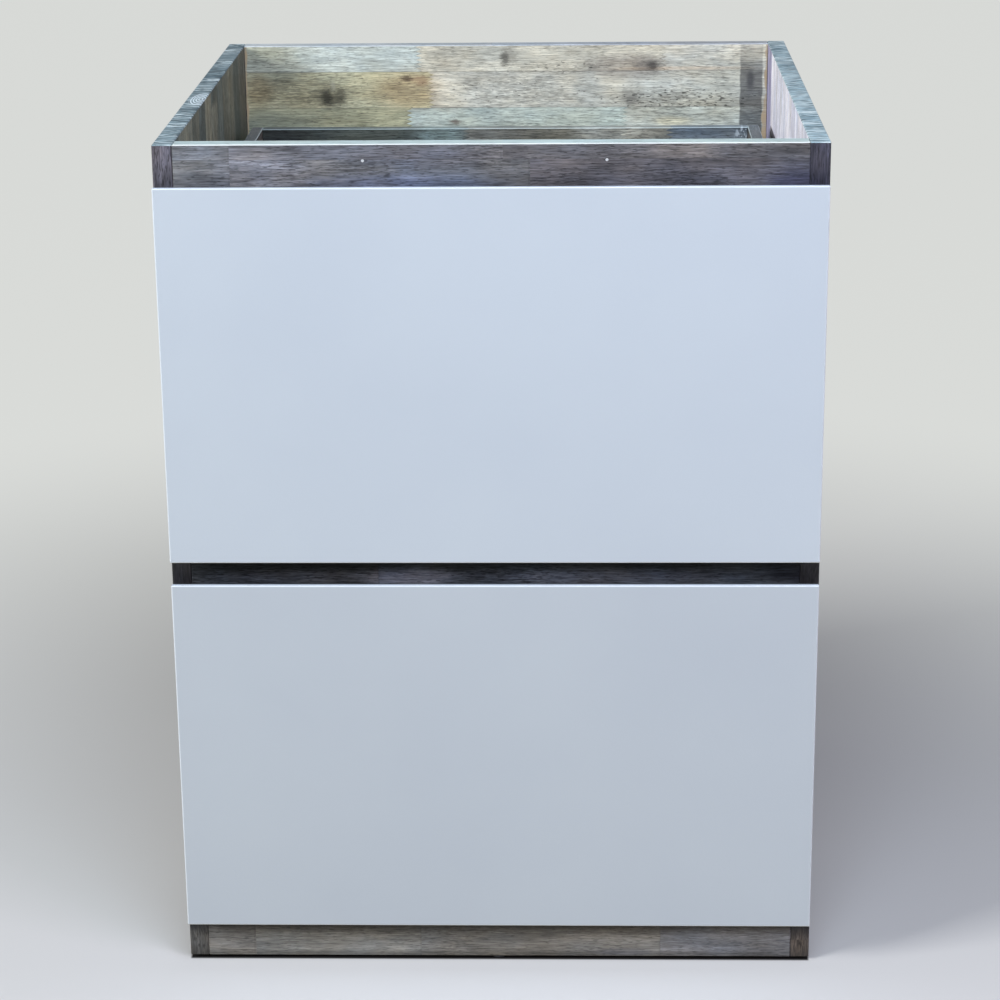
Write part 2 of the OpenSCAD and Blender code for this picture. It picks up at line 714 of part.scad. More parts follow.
left_side_panel();
right_side_panel();
back_panel();
bottom_panel();
top_front_rail();
middle_front_rail();
plinth_rail();
carcass_dowels();
floor_glides();
rail_pin_fillings();
upper_left_slide_outer();
upper_right_slide_outer();
lower_left_slide_outer();
lower_right_slide_outer();
slide_cabinet_screws();
slide_end_buffers();
upper_front();
upper_box_left_side();
upper_box_right_side();
upper_box_back();
upper_box_inner_front();
upper_box_bottom();
upper_box_dowels();
upper_front_screws();
upper_bumpers();
upper_left_slide_inner();
upper_right_slide_inner();
upper_slide_box_screws();
upper_left_slide_middle();
upper_right_slide_middle();
upper_left_outer_cage();
upper_right_outer_cage();
upper_outer_balls();
upper_left_inner_cage();
upper_right_inner_cage();
upper_inner_balls();
lower_front();
lower_box_left_side();
lower_box_right_side();
lower_box_back();
lower_box_inner_front();
lower_box_bottom();
lower_box_dowels();
lower_front_screws();
lower_bumpers();
lower_left_slide_inner();
lower_right_slide_inner();
lower_slide_box_screws();
lower_left_slide_middle();
lower_right_slide_middle();
lower_left_outer_cage();
lower_right_outer_cage();
lower_outer_balls();
lower_left_inner_cage();
lower_right_inner_cage();
lower_inner_balls();
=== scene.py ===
"""Looks of the two-drawer kitchen base unit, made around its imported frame. Lengths are in metres."""

import math

import bmesh
import bpy
from mathutils import Matrix, Vector


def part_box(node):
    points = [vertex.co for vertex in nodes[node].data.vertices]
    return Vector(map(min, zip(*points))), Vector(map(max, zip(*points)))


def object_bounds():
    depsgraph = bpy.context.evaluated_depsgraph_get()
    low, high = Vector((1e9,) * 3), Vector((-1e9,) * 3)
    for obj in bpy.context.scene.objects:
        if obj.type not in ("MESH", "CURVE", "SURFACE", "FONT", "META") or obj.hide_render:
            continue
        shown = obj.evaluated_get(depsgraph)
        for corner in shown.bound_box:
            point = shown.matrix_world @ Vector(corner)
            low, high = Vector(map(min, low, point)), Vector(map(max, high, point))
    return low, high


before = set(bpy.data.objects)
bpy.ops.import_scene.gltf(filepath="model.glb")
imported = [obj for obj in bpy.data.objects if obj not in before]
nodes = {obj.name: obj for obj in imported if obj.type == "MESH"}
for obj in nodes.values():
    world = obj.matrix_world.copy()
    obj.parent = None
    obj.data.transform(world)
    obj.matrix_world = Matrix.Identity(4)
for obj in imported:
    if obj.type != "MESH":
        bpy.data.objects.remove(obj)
cad_low, cad_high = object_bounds()


# Camera. The photo was taken from 2.4 metres in front of the carcass and from above its top, with a
# lens of about 99 mm on a full frame, aimed 18 degrees down and slightly to the left.
camera_place = Vector((0.0756, -2.6766, 1.2564))
camera_yaw, camera_pitch, camera_roll = (math.radians(a) for a in (-1.6722, 18.169, -0.5823))
camera = bpy.data.objects.new("camera", bpy.data.cameras.new("camera"))
bpy.context.scene.collection.objects.link(camera)
bpy.context.scene.camera = camera
camera.data.sensor_width = 36
camera.data.lens = 98.92
camera.matrix_world = (
    Matrix.Translation(camera_place)
    @ Matrix.Rotation(-camera_yaw, 4, "Z")
    @ Matrix.Rotation(math.pi / 2 - camera_pitch, 4, "X")
    @ Matrix.Rotation(camera_roll, 4, "Z")
)


# Side panels. Boards of edge-glued, finger-jointed hardwood staves that stand on end, stained grey.
# The stain lies thin and pale on the inside, where the right panel is painted near white as painted
# light from the left and the left one darker, partly as painted shade. The end grain along the top
# has drunk the stain in blue.
def paint(shade):
    """The linear colour of an sRGB hex code, or the grey of a plain number."""
    if not isinstance(shade, str):
        return [shade] * 3 + [1]
    parts = [int(shade[i:i + 2], 16) / 255 for i in (1, 3, 5)]
    return [p / 12.92 if p < 0.04045 else ((p + 0.055) / 1.055) ** 2.4 for p in parts] + [1]


def add(tree, kind, inputs=(), out=0, stops=None, steps=False, **settings):
    """Adds a node with its settings and links, and returns one of its outputs.

    inputs are values, hex codes or other nodes' outputs, in the sockets' order or by their names or
    numbers, and stops are the places and shades of a ramp. A MapRange takes the value, its range and
    the range that it becomes. A Mix takes the share in socket 0, what lies under in socket 6 and what
    covers it in socket 7, and gives their mix as output 2."""
    node = tree.nodes.new("ShaderNode" + kind)
    for name, value in settings.items():
        setattr(node, name, value)
    if stops:
        ramp = node.color_ramp
        ramp.interpolation = "CONSTANT" if steps else "LINEAR"
        ramp.elements.remove(ramp.elements[0])
        for count, (position, shade) in enumerate(stops):
            stop = ramp.elements.new(position) if count else ramp.elements[0]
            stop.position = position
            stop.color = paint(shade)
    for key, value in inputs.items() if isinstance(inputs, dict) else enumerate(inputs):
        socket = node.inputs[key]
        if isinstance(value, bpy.types.NodeSocket):
            tree.links.new(value, socket)
        elif socket.type == "RGBA" and isinstance(value, (str, float)):
            socket.default_value = paint(value)
        else:
            socket.default_value = value
    return node.outputs[out] if node.outputs else None


def finish(name, draw):
    """A material whose draw function gives the values and patterns of its shader's sockets."""
    material = bpy.data.materials.new(name)
    material.use_nodes = True
    tree = material.node_tree
    tree.nodes.clear()
    sockets = draw(tree)
    if "Height" in sockets:
        relief = {"Height": sockets.pop("Height"), "Distance": sockets.pop("Relief")}
        sockets["Normal"] = add(tree, "Bump", relief)
    add(tree, "OutputMaterial", [add(tree, "BsdfPrincipled", sockets)])
    return material


def dress(material, *names):
    """Gives the CAD nodes of these names a material."""
    for name in names:
        nodes[name].material_slots[0].material = material


def place_on(tree):
    """The three coordinates of a point of the unit."""
    return add(tree, "SeparateXYZ", [add(tree, "TexCoord", out="Object")]).node.outputs


def evenly(tones):
    """Colour stops at even steps from 0 to 1."""
    return [(count / (len(tones) - 1), tone) for count, tone in enumerate(tones)]


seam_half = 0.0005


def glued_staves(tree, along, across, row, first, length, tones, seed):
    """Rows of staves with finger-jointed ends: each stave's tone, its own random lot and the joints.

    The rows are row wide from first, and their staves are about length long."""
    finger_half, finger_slope, end_half = 0.0017, 4, 0.0006
    tooth = add(tree, "Math", [across, finger_half], operation="PINGPONG")
    end = add(tree, "Math", [tooth, finger_slope, along], operation="MULTIPLY_ADD")

    # Every row starts at its own place, and the noise makes its staves differ in length.
    rows = add(tree, "Math", [across, 1 / row, -first / row], operation="MULTIPLY_ADD")
    number = add(tree, "Math", [rows], operation="FLOOR")
    start = add(tree, "TexWhiteNoise", {"W": add(tree, "Math", [number, seed])}, noise_dimensions="1D")
    sway = add(tree, "TexNoise", {"Vector": add(tree, "CombineXYZ", [end, number, seed]), "Scale": 2.1})
    swayed = add(tree, "Math", [sway, 0.55, start], operation="MULTIPLY_ADD")
    shift = add(tree, "Math", [swayed, 7], operation="MULTIPLY")
    run = add(tree, "Math", [end, 1 / length, shift], operation="MULTIPLY_ADD")
    count = add(tree, "Math", [run], operation="FLOOR")
    lot = add(tree, "TexWhiteNoise", [add(tree, "CombineXYZ", [number, count, seed])], out=1)
    pick = add(tree, "SeparateXYZ", [lot])
    tone = add(tree, "ValToRGB", [pick], stops=evenly(tones))
    seam = add(tree, "Math", [rows, 0.5], operation="PINGPONG")
    seam = add(tree, "Math", [seam, seam_half / row], operation="LESS_THAN")
    butt = add(tree, "Math", [run, 0.5], operation="PINGPONG")
    butt = add(tree, "Math", [butt, end_half / length], operation="LESS_THAN")
    return tone, lot, add(tree, "Math", [seam, butt], operation="MAXIMUM")


def stained_wood(tree, along, across, through, tone, lot, joints, depth=1.0, pores=0.0):
    """The colour and height of stained hardwood: growth rings, bands, fibres, dark pores, and clouds
    where the stain is cooler or warmer and lies thicker or thinner.

    depth is how strongly all this shows, and pores is how many more pores are open."""
    point = add(tree, "CombineXYZ", [along, across, through])
    stave = add(tree, "VectorMath", [lot, (5, 5, 5), point], operation="MULTIPLY_ADD")
    wander = add(tree, "TexNoise", {
        "Vector": add(tree, "VectorMath", [stave, (4, 16, 16)], operation="MULTIPLY"),
        "Scale": 1, "Detail": 2}, out=1)
    bent = add(tree, "VectorMath", [wander, (0, 0.009, 0.009), stave], operation="MULTIPLY_ADD")
    clouds = add(tree, "TexNoise", {
        "Vector": add(tree, "VectorMath", [stave, (13, 28, 28)], operation="MULTIPLY"),
        "Scale": 1, "Detail": 4, "Roughness": 0.6}, out=1)
    cloud = add(tree, "SeparateXYZ", [clouds]).node.outputs

    # Bands are 9 mm wide and 90 mm long, fibres 1.4 mm by 20 mm and finer, and pores 0.9 mm by 7 mm.
    # Real pores are 0.3 mm wide, and are drawn as coarse as they need to be to show.
    band = add(tree, "TexNoise", {
        "Vector": add(tree, "VectorMath", [bent, (11, 110, 110)], operation="MULTIPLY"),
        "Scale": 1, "Detail": 1})
    fibre = add(tree, "TexNoise", {
        "Vector": add(tree, "VectorMath", [bent, (50, 700, 700)], operation="MULTIPLY"),
        "Scale": 1, "Detail": 2, "Roughness": 0.6})
    pore = add(tree, "TexNoise", {
        "Vector": add(tree, "VectorMath", [bent, (150, 1100, 1100)], operation="MULTIPLY"),
        "Scale": 1, "Detail": 1, "Roughness": 0.5})

    # The boards are cut beside the tree's heart, so that its rings, 6 mm apart, run as long flames on
    # their faces.
    ring_rate = 170
    heart = add(tree, "VectorMath", [lot, (0, 0.3, 0.1)], operation="MULTIPLY")
    lean = add(tree, "CombineXYZ", [0, 0.04, 0.09])
    lean = add(tree, "VectorMath", [lean, along], operation="MULTIPLY")
    beside = add(tree, "VectorMath", [add(tree, "CombineXYZ", [0, across, through]), heart])
    swirl = add(tree, "VectorMath", [wander, (0, 0.03, 0.03), add(tree, "VectorMath", [beside, lean])],
                operation="MULTIPLY_ADD")
    radius = add(tree, "VectorMath", [swirl], out=1, operation="LENGTH")
    ring = add(tree, "Math", [radius, ring_rate], operation="MULTIPLY")
    ring = add(tree, "Math", [ring], operation="FRACT")
    late = add(tree, "ValToRGB", [ring], stops=[(0, 0.0), (0.6, 0.3), (0.9, 1), (1, 0.0)])

    # Pores open where the grain is coarse, and each of these patterns dims or brightens the tone.
    coarse = add(tree, "Math", [pores, 0.42])
    thick = add(tree, "Math", [cloud[2], coarse, pore], operation="MULTIPLY_ADD")
    hole = add(tree, "MapRange", [thick, 0.77, 0.87, 0, 1])
    light = add(tree, "MapRange", [fibre, 0.3, 0.7, 1 - 0.42 * depth, 1 + 0.46 * depth])
    for value, least, most, dim, bright in (
            (band, 0.3, 0.7, 1 - 0.16 * depth, 1 + 0.18 * depth),
            (cloud[1], 0.28, 0.72, 1 - 0.34 * depth, 1 + 0.38 * depth),
            (late, 0, 1, 1 + 0.04 * depth, 1 - 0.1 * depth),
            (hole, 0, 1, 1, 1 - 0.5 * depth), (joints, 0, 1, 1, 0.72)):
        factor = add(tree, "MapRange", [value, least, most, dim, bright])
        light = add(tree, "Math", [light, factor], operation="MULTIPLY")
    warmth = add(tree, "MapRange", [cloud[0], 0.3, 0.7, -0.2 * depth, 0.2 * depth])
    tint = add(tree, "VectorMath", [
        add(tree, "CombineXYZ", [warmth, warmth, warmth]), (0.4, 0.04, -0.45), (1, 1, 1)],
        operation="MULTIPLY_ADD")
    tinted = add(tree, "VectorMath", [tone, tint], operation="MULTIPLY")
    colour = add(tree, "VectorMath", {0: tinted, "Scale": light}, operation="SCALE")
    height = add(tree, "Math", [hole, -0.9, fibre], operation="MULTIPLY_ADD")
    return colour, add(tree, "Math", [joints, -0.5, height], operation="MULTIPLY_ADD")


# A point this close to a face lies on it. The first distance takes in the 0.8 mm ease of the boards'
# edges, and the second doesn't.
ease_reach, face_reach = 0.0009, 0.0004
grain_relief = 0.00015


def wood_skin(colour, height, roughness=0.5, gloss=0.4):
    """The sockets of stained wood, matt and with grain that can just be felt."""
    return {"Base Color": colour, "Roughness": roughness, "Specular IOR Level": gloss,
            "Height": height, "Relief": grain_relief}


def between(tree, value, low, high, soft=0.0004):
    """1 where the value lies from low to high and 0 outside, with edges as soft as given."""
    up = add(tree, "MapRange", [value, low - soft, low + soft, 0, 1])
    down = add(tree, "MapRange", [value, high - soft, high + soft, 1, 0])
    return add(tree, "Math", [up, down], operation="MULTIPLY")


outer_tones = ["#5f5d61", "#7b7d81", "#696a70", "#7d7975", "#63666a", "#8a8b8c", "#655f5e"]
behind_tones = [(0, "#7b8075"), (0.3, "#98988a"), (0.6, "#6c746d"), (1, "#a2a497")]
end_tones = [(0, "#566b73"), (0.3, "#809398"), (0.6, "#61747a"), (0.8, "#90a2a6"), (1, "#6b7d84")]
corner_stave = (0.225, 0.3)
unit_top = cad_high.z
carcass_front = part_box("left_side_panel")[0].y
inner_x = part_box("right_side_panel")[0].x
panel_thickness = cad_high.x - inner_x


def side_panel_finish(
        name, side, front_tones_and_shade, inner_tones_and_light, corner_tone, corner_shade, inner_depth, bleach, seed):
    """side is -1 for the left panel and 1 for the right one.

    The front tones are those of the foot, of the painted shade under the lower front and in the gap
    between the fronts, and of the top. The inner tones are partly painted light: near white on the
    right and darker on the left. The pair for the lower back corner gives how much painted shade
    darkens it, and in what colour. bleach is how pale the end grain has dried."""
    def draw(tree):
        place = place_on(tree)
        tone, lot, joints = glued_staves(
            tree, place["Z"], place["Y"], row=0.046, first=carcass_front, length=0.36,
            tones=outer_tones, seed=seed)
        picks = add(tree, "SeparateXYZ", [lot]).node.outputs

        # Inside, the last stave has a tone of its own, and lower down, behind the drawers, both panels
        # have kept the same olive grey.
        # The inner tones paint light into the inner faces: near white on the right as painted light
        # from the left, and darker on the left, partly as painted shade.
        inner_tone_and_light = add(tree, "ValToRGB", [picks[0]], stops=evenly(inner_tones_and_light))
        corner = between(tree, place["Y"], *corner_stave, soft=0.002)
        inner_tone_and_light = add(tree, "Mix", {
            0: corner, 6: inner_tone_and_light, 7: corner_tone}, out=2, data_type="RGBA")
        behind = add(tree, "ValToRGB", [picks[0]], stops=behind_tones)
        low_down = add(tree, "MapRange", [place["Z"], 0.62, 0.7, 1, 0])
        inner_tone_and_light = add(tree, "Mix", {0: low_down, 6: inner_tone_and_light, 7: behind}, out=2, data_type="RGBA")
        reach = add(tree, "Math", [place["X"], side], operation="MULTIPLY")
        inside = add(tree, "Math", [
            add(tree, "Math", [reach, inner_x + face_reach], operation="LESS_THAN"),
            add(tree, "Math", [place["Y"], carcass_front + ease_reach], operation="GREATER_THAN")],
            operation="MULTIPLY")
        tone = add(tree, "Mix", {0: inside, 6: tone, 7: inner_tone_and_light}, out=2, data_type="RGBA")

        # The front edge shows one stave on its narrow side, painted darker as painted shade under the
        # lower front and beside the gap between the fronts.
        edge = add(tree, "Math", [place["Y"], carcass_front + ease_reach], operation="LESS_THAN")
        front_tone = add(tree, "ValToRGB", [place["Z"]], stops=list(zip(
            (0, 0.0235, 0.036, 0.08, 0.3, 0.43, 0.757, 0.79),
            (front_tones_and_shade[i] for i in (0, 0, 1, 0, 1, 1, 2, 3)))))
        tone = add(tree, "Mix", {0: edge, 6: tone, 7: front_tone}, out=2, data_type="RGBA")
        outer, height = stained_wood(tree, place["Z"], place["Y"], place["X"], tone, lot, joints)
        inner, _ = stained_wood(
            tree, place["Z"], place["Y"], place["X"], tone, lot, joints, depth=inner_depth)
        colour = add(tree, "Mix", {0: inside, 6: outer, 7: inner}, out=2, data_type="RGBA")
        narrow, _ = stained_wood(
            tree, place["Z"], place["X"], place["Y"], tone, lot, joints=0.0, depth=1.3)
        colour = add(tree, "Mix", {0: edge, 6: colour, 7: narrow}, out=2, data_type="RGBA")

        # Its foot is painted darker just above the floor, as painted shade where it meets the floor.
        painted_floor_shade = add(tree, "MapRange", [place["Z"], 0.005, 0.017, 0.55, 0])
        painted_floor_shade = add(tree, "Math", [painted_floor_shade, edge], operation="MULTIPLY")
        colour = add(tree, "Mix", {0: painted_floor_shade, 6: colour, 7: "#272624"}, out=2, data_type="RGBA")

        # Stain has gathered in the joint beside the rails.
        joint = add(tree, "Math", [
            add(tree, "Math", [reach, inner_x + ease_reach], operation="LESS_THAN"),
            add(tree, "Math", [place["Y"], carcass_front + ease_reach], operation="LESS_THAN")],
            operation="MULTIPLY")
        joint = add(tree, "Math", [joint, 0.25], operation="MULTIPLY")
        colour = add(tree, "Mix", {0: joint, 6: colour, 7: "#2b2a30"}, out=2, data_type="RGBA")

        # Painted shade darkens the inner face towards the lower back corner of the part that shows.
        painted_corner_shade = add(tree, "Math", [
            add(tree, "MapRange", [place["Z"], 0.7, 0.79, corner_shade[0], 0]),
            add(tree, "MapRange", [place["Y"], -0.05, 0.24, 0, 1])], operation="MULTIPLY")
        painted_corner_shade = add(tree, "Math", [painted_corner_shade, inside], operation="MULTIPLY")
        colour = add(tree, "Mix", {0: painted_corner_shade, 6: colour, 7: corner_shade[1]}, out=2, data_type="RGBA")

        # A painted shadow of the upper drawer's rim darkens the right inner face just below the rim.
        if side > 0:
            painted_rim_shadow = add(tree, "Math", [
                add(tree, "MapRange", [place["Z"], 0.69, 0.712, 0, 0.9]),
                add(tree, "MapRange", [place["Z"], 0.7222, 0.7232, 1, 0])], operation="MULTIPLY")
            beside_rim = between(tree, place["Y"], -0.26, 0.222)
            painted_rim_shadow = add(tree, "Math", [painted_rim_shadow, beside_rim], operation="MULTIPLY")
            painted_rim_shadow = add(tree, "Math", [painted_rim_shadow, inside], operation="MULTIPLY")
            colour = add(tree, "Mix", {0: painted_rim_shadow, 6: colour, 7: "#312b39"}, out=2, data_type="RGBA")

        # End grain on the top edge: pale early wood between growth rings, which lie 10 mm apart to show
        # and lean and bow their own way in each stave, and pale saw lines, which come in groups.
        ring_half, saw_bend = 0.005, 0.004
        cut = add(tree, "CombineXYZ", [place["X"], place["Y"], lot])
        saw = add(tree, "TexNoise", {
            "Vector": add(tree, "VectorMath", [cut, (26, 125, 9)], operation="MULTIPLY"),
            "Scale": 1, "Detail": 3, "Roughness": 0.62})
        cells = add(tree, "TexNoise", {
            "Vector": add(tree, "VectorMath", [cut, (90, 260, 9)], operation="MULTIPLY"),
            "Scale": 1, "Detail": 1})
        end_tone = add(tree, "ValToRGB", [picks[0]], stops=end_tones)
        end_light = add(tree, "MapRange", [cells, 0.32, 0.68, 0.5 * bleach, 1.4 * bleach])
        end_colour = add(tree, "VectorMath", {0: end_tone, "Scale": end_light}, operation="SCALE")
        centre_line = side * (inner_x + panel_thickness / 2)
        middle = add(tree, "Math", [place["X"], centre_line], operation="SUBTRACT")
        bow = add(tree, "Math", [
            middle, add(tree, "MapRange", [picks[1], 0, 1, -35, 35]),
            add(tree, "MapRange", [picks[2], 0, 1, -0.8, 0.8])], operation="MULTIPLY_ADD")
        rings = add(tree, "Math", [middle, bow, place["Y"]], operation="MULTIPLY_ADD")
        rings = add(tree, "Math", [saw, saw_bend, rings], operation="MULTIPLY_ADD")
        rings = add(tree, "Math", [rings, ring_half], operation="PINGPONG")
        rings = add(tree, "MapRange", [rings, 0.0031, 0.0042, 0, 1])
        pale = add(tree, "MapRange", [cells, 0.36, 0.5, 0.2, 1])
        pale = add(tree, "Math", [pale, rings], operation="MULTIPLY")
        lines = add(tree, "MapRange", [saw, 0.61 - 0.04 * bleach, 0.66 - 0.04 * bleach, 0, 0.9])
        pale = add(tree, "Math", [pale, lines], operation="MAXIMUM")
        group = add(tree, "TexNoise", {
            "W": place["Y"], "Scale": 26, "Detail": 1}, noise_dimensions="1D")
        group = add(tree, "MapRange", [group, 0.44, 0.56, 0.5 * bleach - 0.35, 1])
        pale = add(tree, "Math", [pale, group], operation="MULTIPLY")
        end_colour = add(tree, "Mix", {0: pale, 6: end_colour, 7: "#dae8e8"}, out=2, data_type="RGBA")

        # One stave on the left was cut through its heart, and shows arcs 2.4 mm apart.
        if side < 0:
            arc_rate, heart_reach = 420, 0.0105
            off = add(tree, "VectorMath", [cut, (-0.286, -0.046, 0)], operation="SUBTRACT")
            far = add(tree, "VectorMath", [
                add(tree, "VectorMath", [off, (1, 0.3, 0)], operation="MULTIPLY")],
                out=1, operation="LENGTH")
            arcs = add(tree, "Math", [far, arc_rate], operation="MULTIPLY")
            arcs = add(tree, "Math", [arcs], operation="FRACT")
            arcs = add(tree, "MapRange", [arcs, 0.4, 0.65, 0, 1])
            near = between(tree, far, -1, heart_reach, soft=0.001)
            arcs = add(tree, "Math", [arcs, near], operation="MULTIPLY")
            end_colour = add(tree, "Mix", {
                0: arcs, 6: end_colour, 7: "#e2eef1"}, out=2, data_type="RGBA")
        top = add(tree, "Math", [place["Z"], unit_top - ease_reach], operation="GREATER_THAN")
        colour = add(tree, "Mix", {0: top, 6: colour, 7: end_colour}, out=2, data_type="RGBA")
        return wood_skin(colour, height)
    return finish(name, draw)


dress(side_panel_finish(
    "left_side_stain", side=-1,
    front_tones_and_shade=("#5c5a56", "#1f1e21", "#4a484d", "#5e595e"),
    inner_tones_and_light=["#626961", "#8d8b77", "#49524e", "#989989"],
    corner_tone="#68675a", corner_shade=(0.75, "#2b2f2a"), inner_depth=1.25, bleach=0.95, seed=3.0),
    "left_side_panel")
dress(side_panel_finish(
    "right_side_stain", side=1,
    front_tones_and_shade=("#57504b", "#1f1e21", "#202231", "#363641"),
    inner_tones_and_light=["#edebf5", "#f4f3fa", "#e7e5f0", "#f2f0f8"],
    corner_tone="#aba6c6", corner_shade=(0.4, "#84819a"), inner_depth=0.7, bleach=1.68, seed=8.0),
    "right_side_panel")


# Back panel. The same boards with the staves lying, let in between the sides. Inside, the rows show
# olive, cream and pale blue staves with comb-like finger joints, dark pores and some small knots.
def chosen_staves(tree, along, across, low, high, rows, comb):
    """The same three for a board whose staves are given row by row, from the lowest: each row has its
    upper edge, then the end and the tone of every stave from left to right. comb is the slope of the
    joints' fingers, or 0 where the staves end square."""
    finger_half, end_half = 0.0023, 0.0009
    tooth = add(tree, "Math", [across, finger_half], operation="PINGPONG")
    end = add(tree, "Math", [tooth, comb, along], operation="MULTIPLY_ADD")
    share = add(tree, "MapRange", [end, low, high, 0, 1])
    tone, number, joints, under = None, None, 0.0, None
    for row, (upper, staves) in enumerate(rows):
        starts = [0] + [(stop - low) / (high - low) for stop, _ in staves[:-1]]
        row_tone = add(tree, "ValToRGB", [share], steps=True, stops=[
            (start, shade) for start, (_, shade) in zip(starts, staves)])
        row_number = add(tree, "ValToRGB", [share], steps=True, stops=[
            (start, 0.2 * row + 0.05 * count) for count, start in enumerate(starts)])
        butts = 0.0
        for stop, _ in staves[:-1]:
            butt = add(tree, "Math", [end, stop, end_half], operation="COMPARE")
            butts = add(tree, "Math", [butt, butts], operation="MAXIMUM")
        if under is None:
            tone, number, joints = row_tone, row_number, butts
        else:
            above = add(tree, "Math", [across, under], operation="GREATER_THAN")
            tone = add(tree, "Mix", {0: above, 6: tone, 7: row_tone}, out=2, data_type="RGBA")
            number = add(tree, "Mix", {0: above, 6: number, 7: row_number}, out=2, data_type="RGBA")
            joints = add(tree, "Mix", {0: above, 6: joints, 7: butts}, out=2, data_type="RGBA")
            seam = add(tree, "Math", [across, under, seam_half], operation="COMPARE")
            joints = add(tree, "Math", [seam, joints], operation="MAXIMUM")
        under = upper
    lot = add(tree, "TexWhiteNoise", [number], out=1)
    return tone, lot, joints


def spot(tree, place, centre, reach, strength, heart=0.25, ragged=0.0):
    """A soft round patch on a board that faces the front: 0 outside it, strength in its heart. A ragged
    one has flames along the grain."""
    off = add(tree, "VectorMath", [
        add(tree, "CombineXYZ", [place["X"], 0.0, place["Z"]]), (centre[0], 0, centre[1])],
        operation="SUBTRACT")
    far = add(tree, "VectorMath", [
        add(tree, "VectorMath", [off, (1 / reach[0], 0, 1 / reach[1])], operation="MULTIPLY")],
        out=1, operation="LENGTH")
    if ragged:
        flame = add(tree, "TexNoise", {
            "Vector": add(tree, "VectorMath", [off, (100, 0, 460)], operation="MULTIPLY"),
            "Scale": 1, "Detail": 4, "Roughness": 0.8})
        flame = add(tree, "Math", [flame, 0.5], operation="SUBTRACT")
        far = add(tree, "Math", [flame, ragged, far], operation="MULTIPLY_ADD")
    return add(tree, "MapRange", [far, heart, 1, strength, 0], interpolation_type="SMOOTHSTEP")


back_low, back_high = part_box("back_panel")
chosen_from = 0.6935


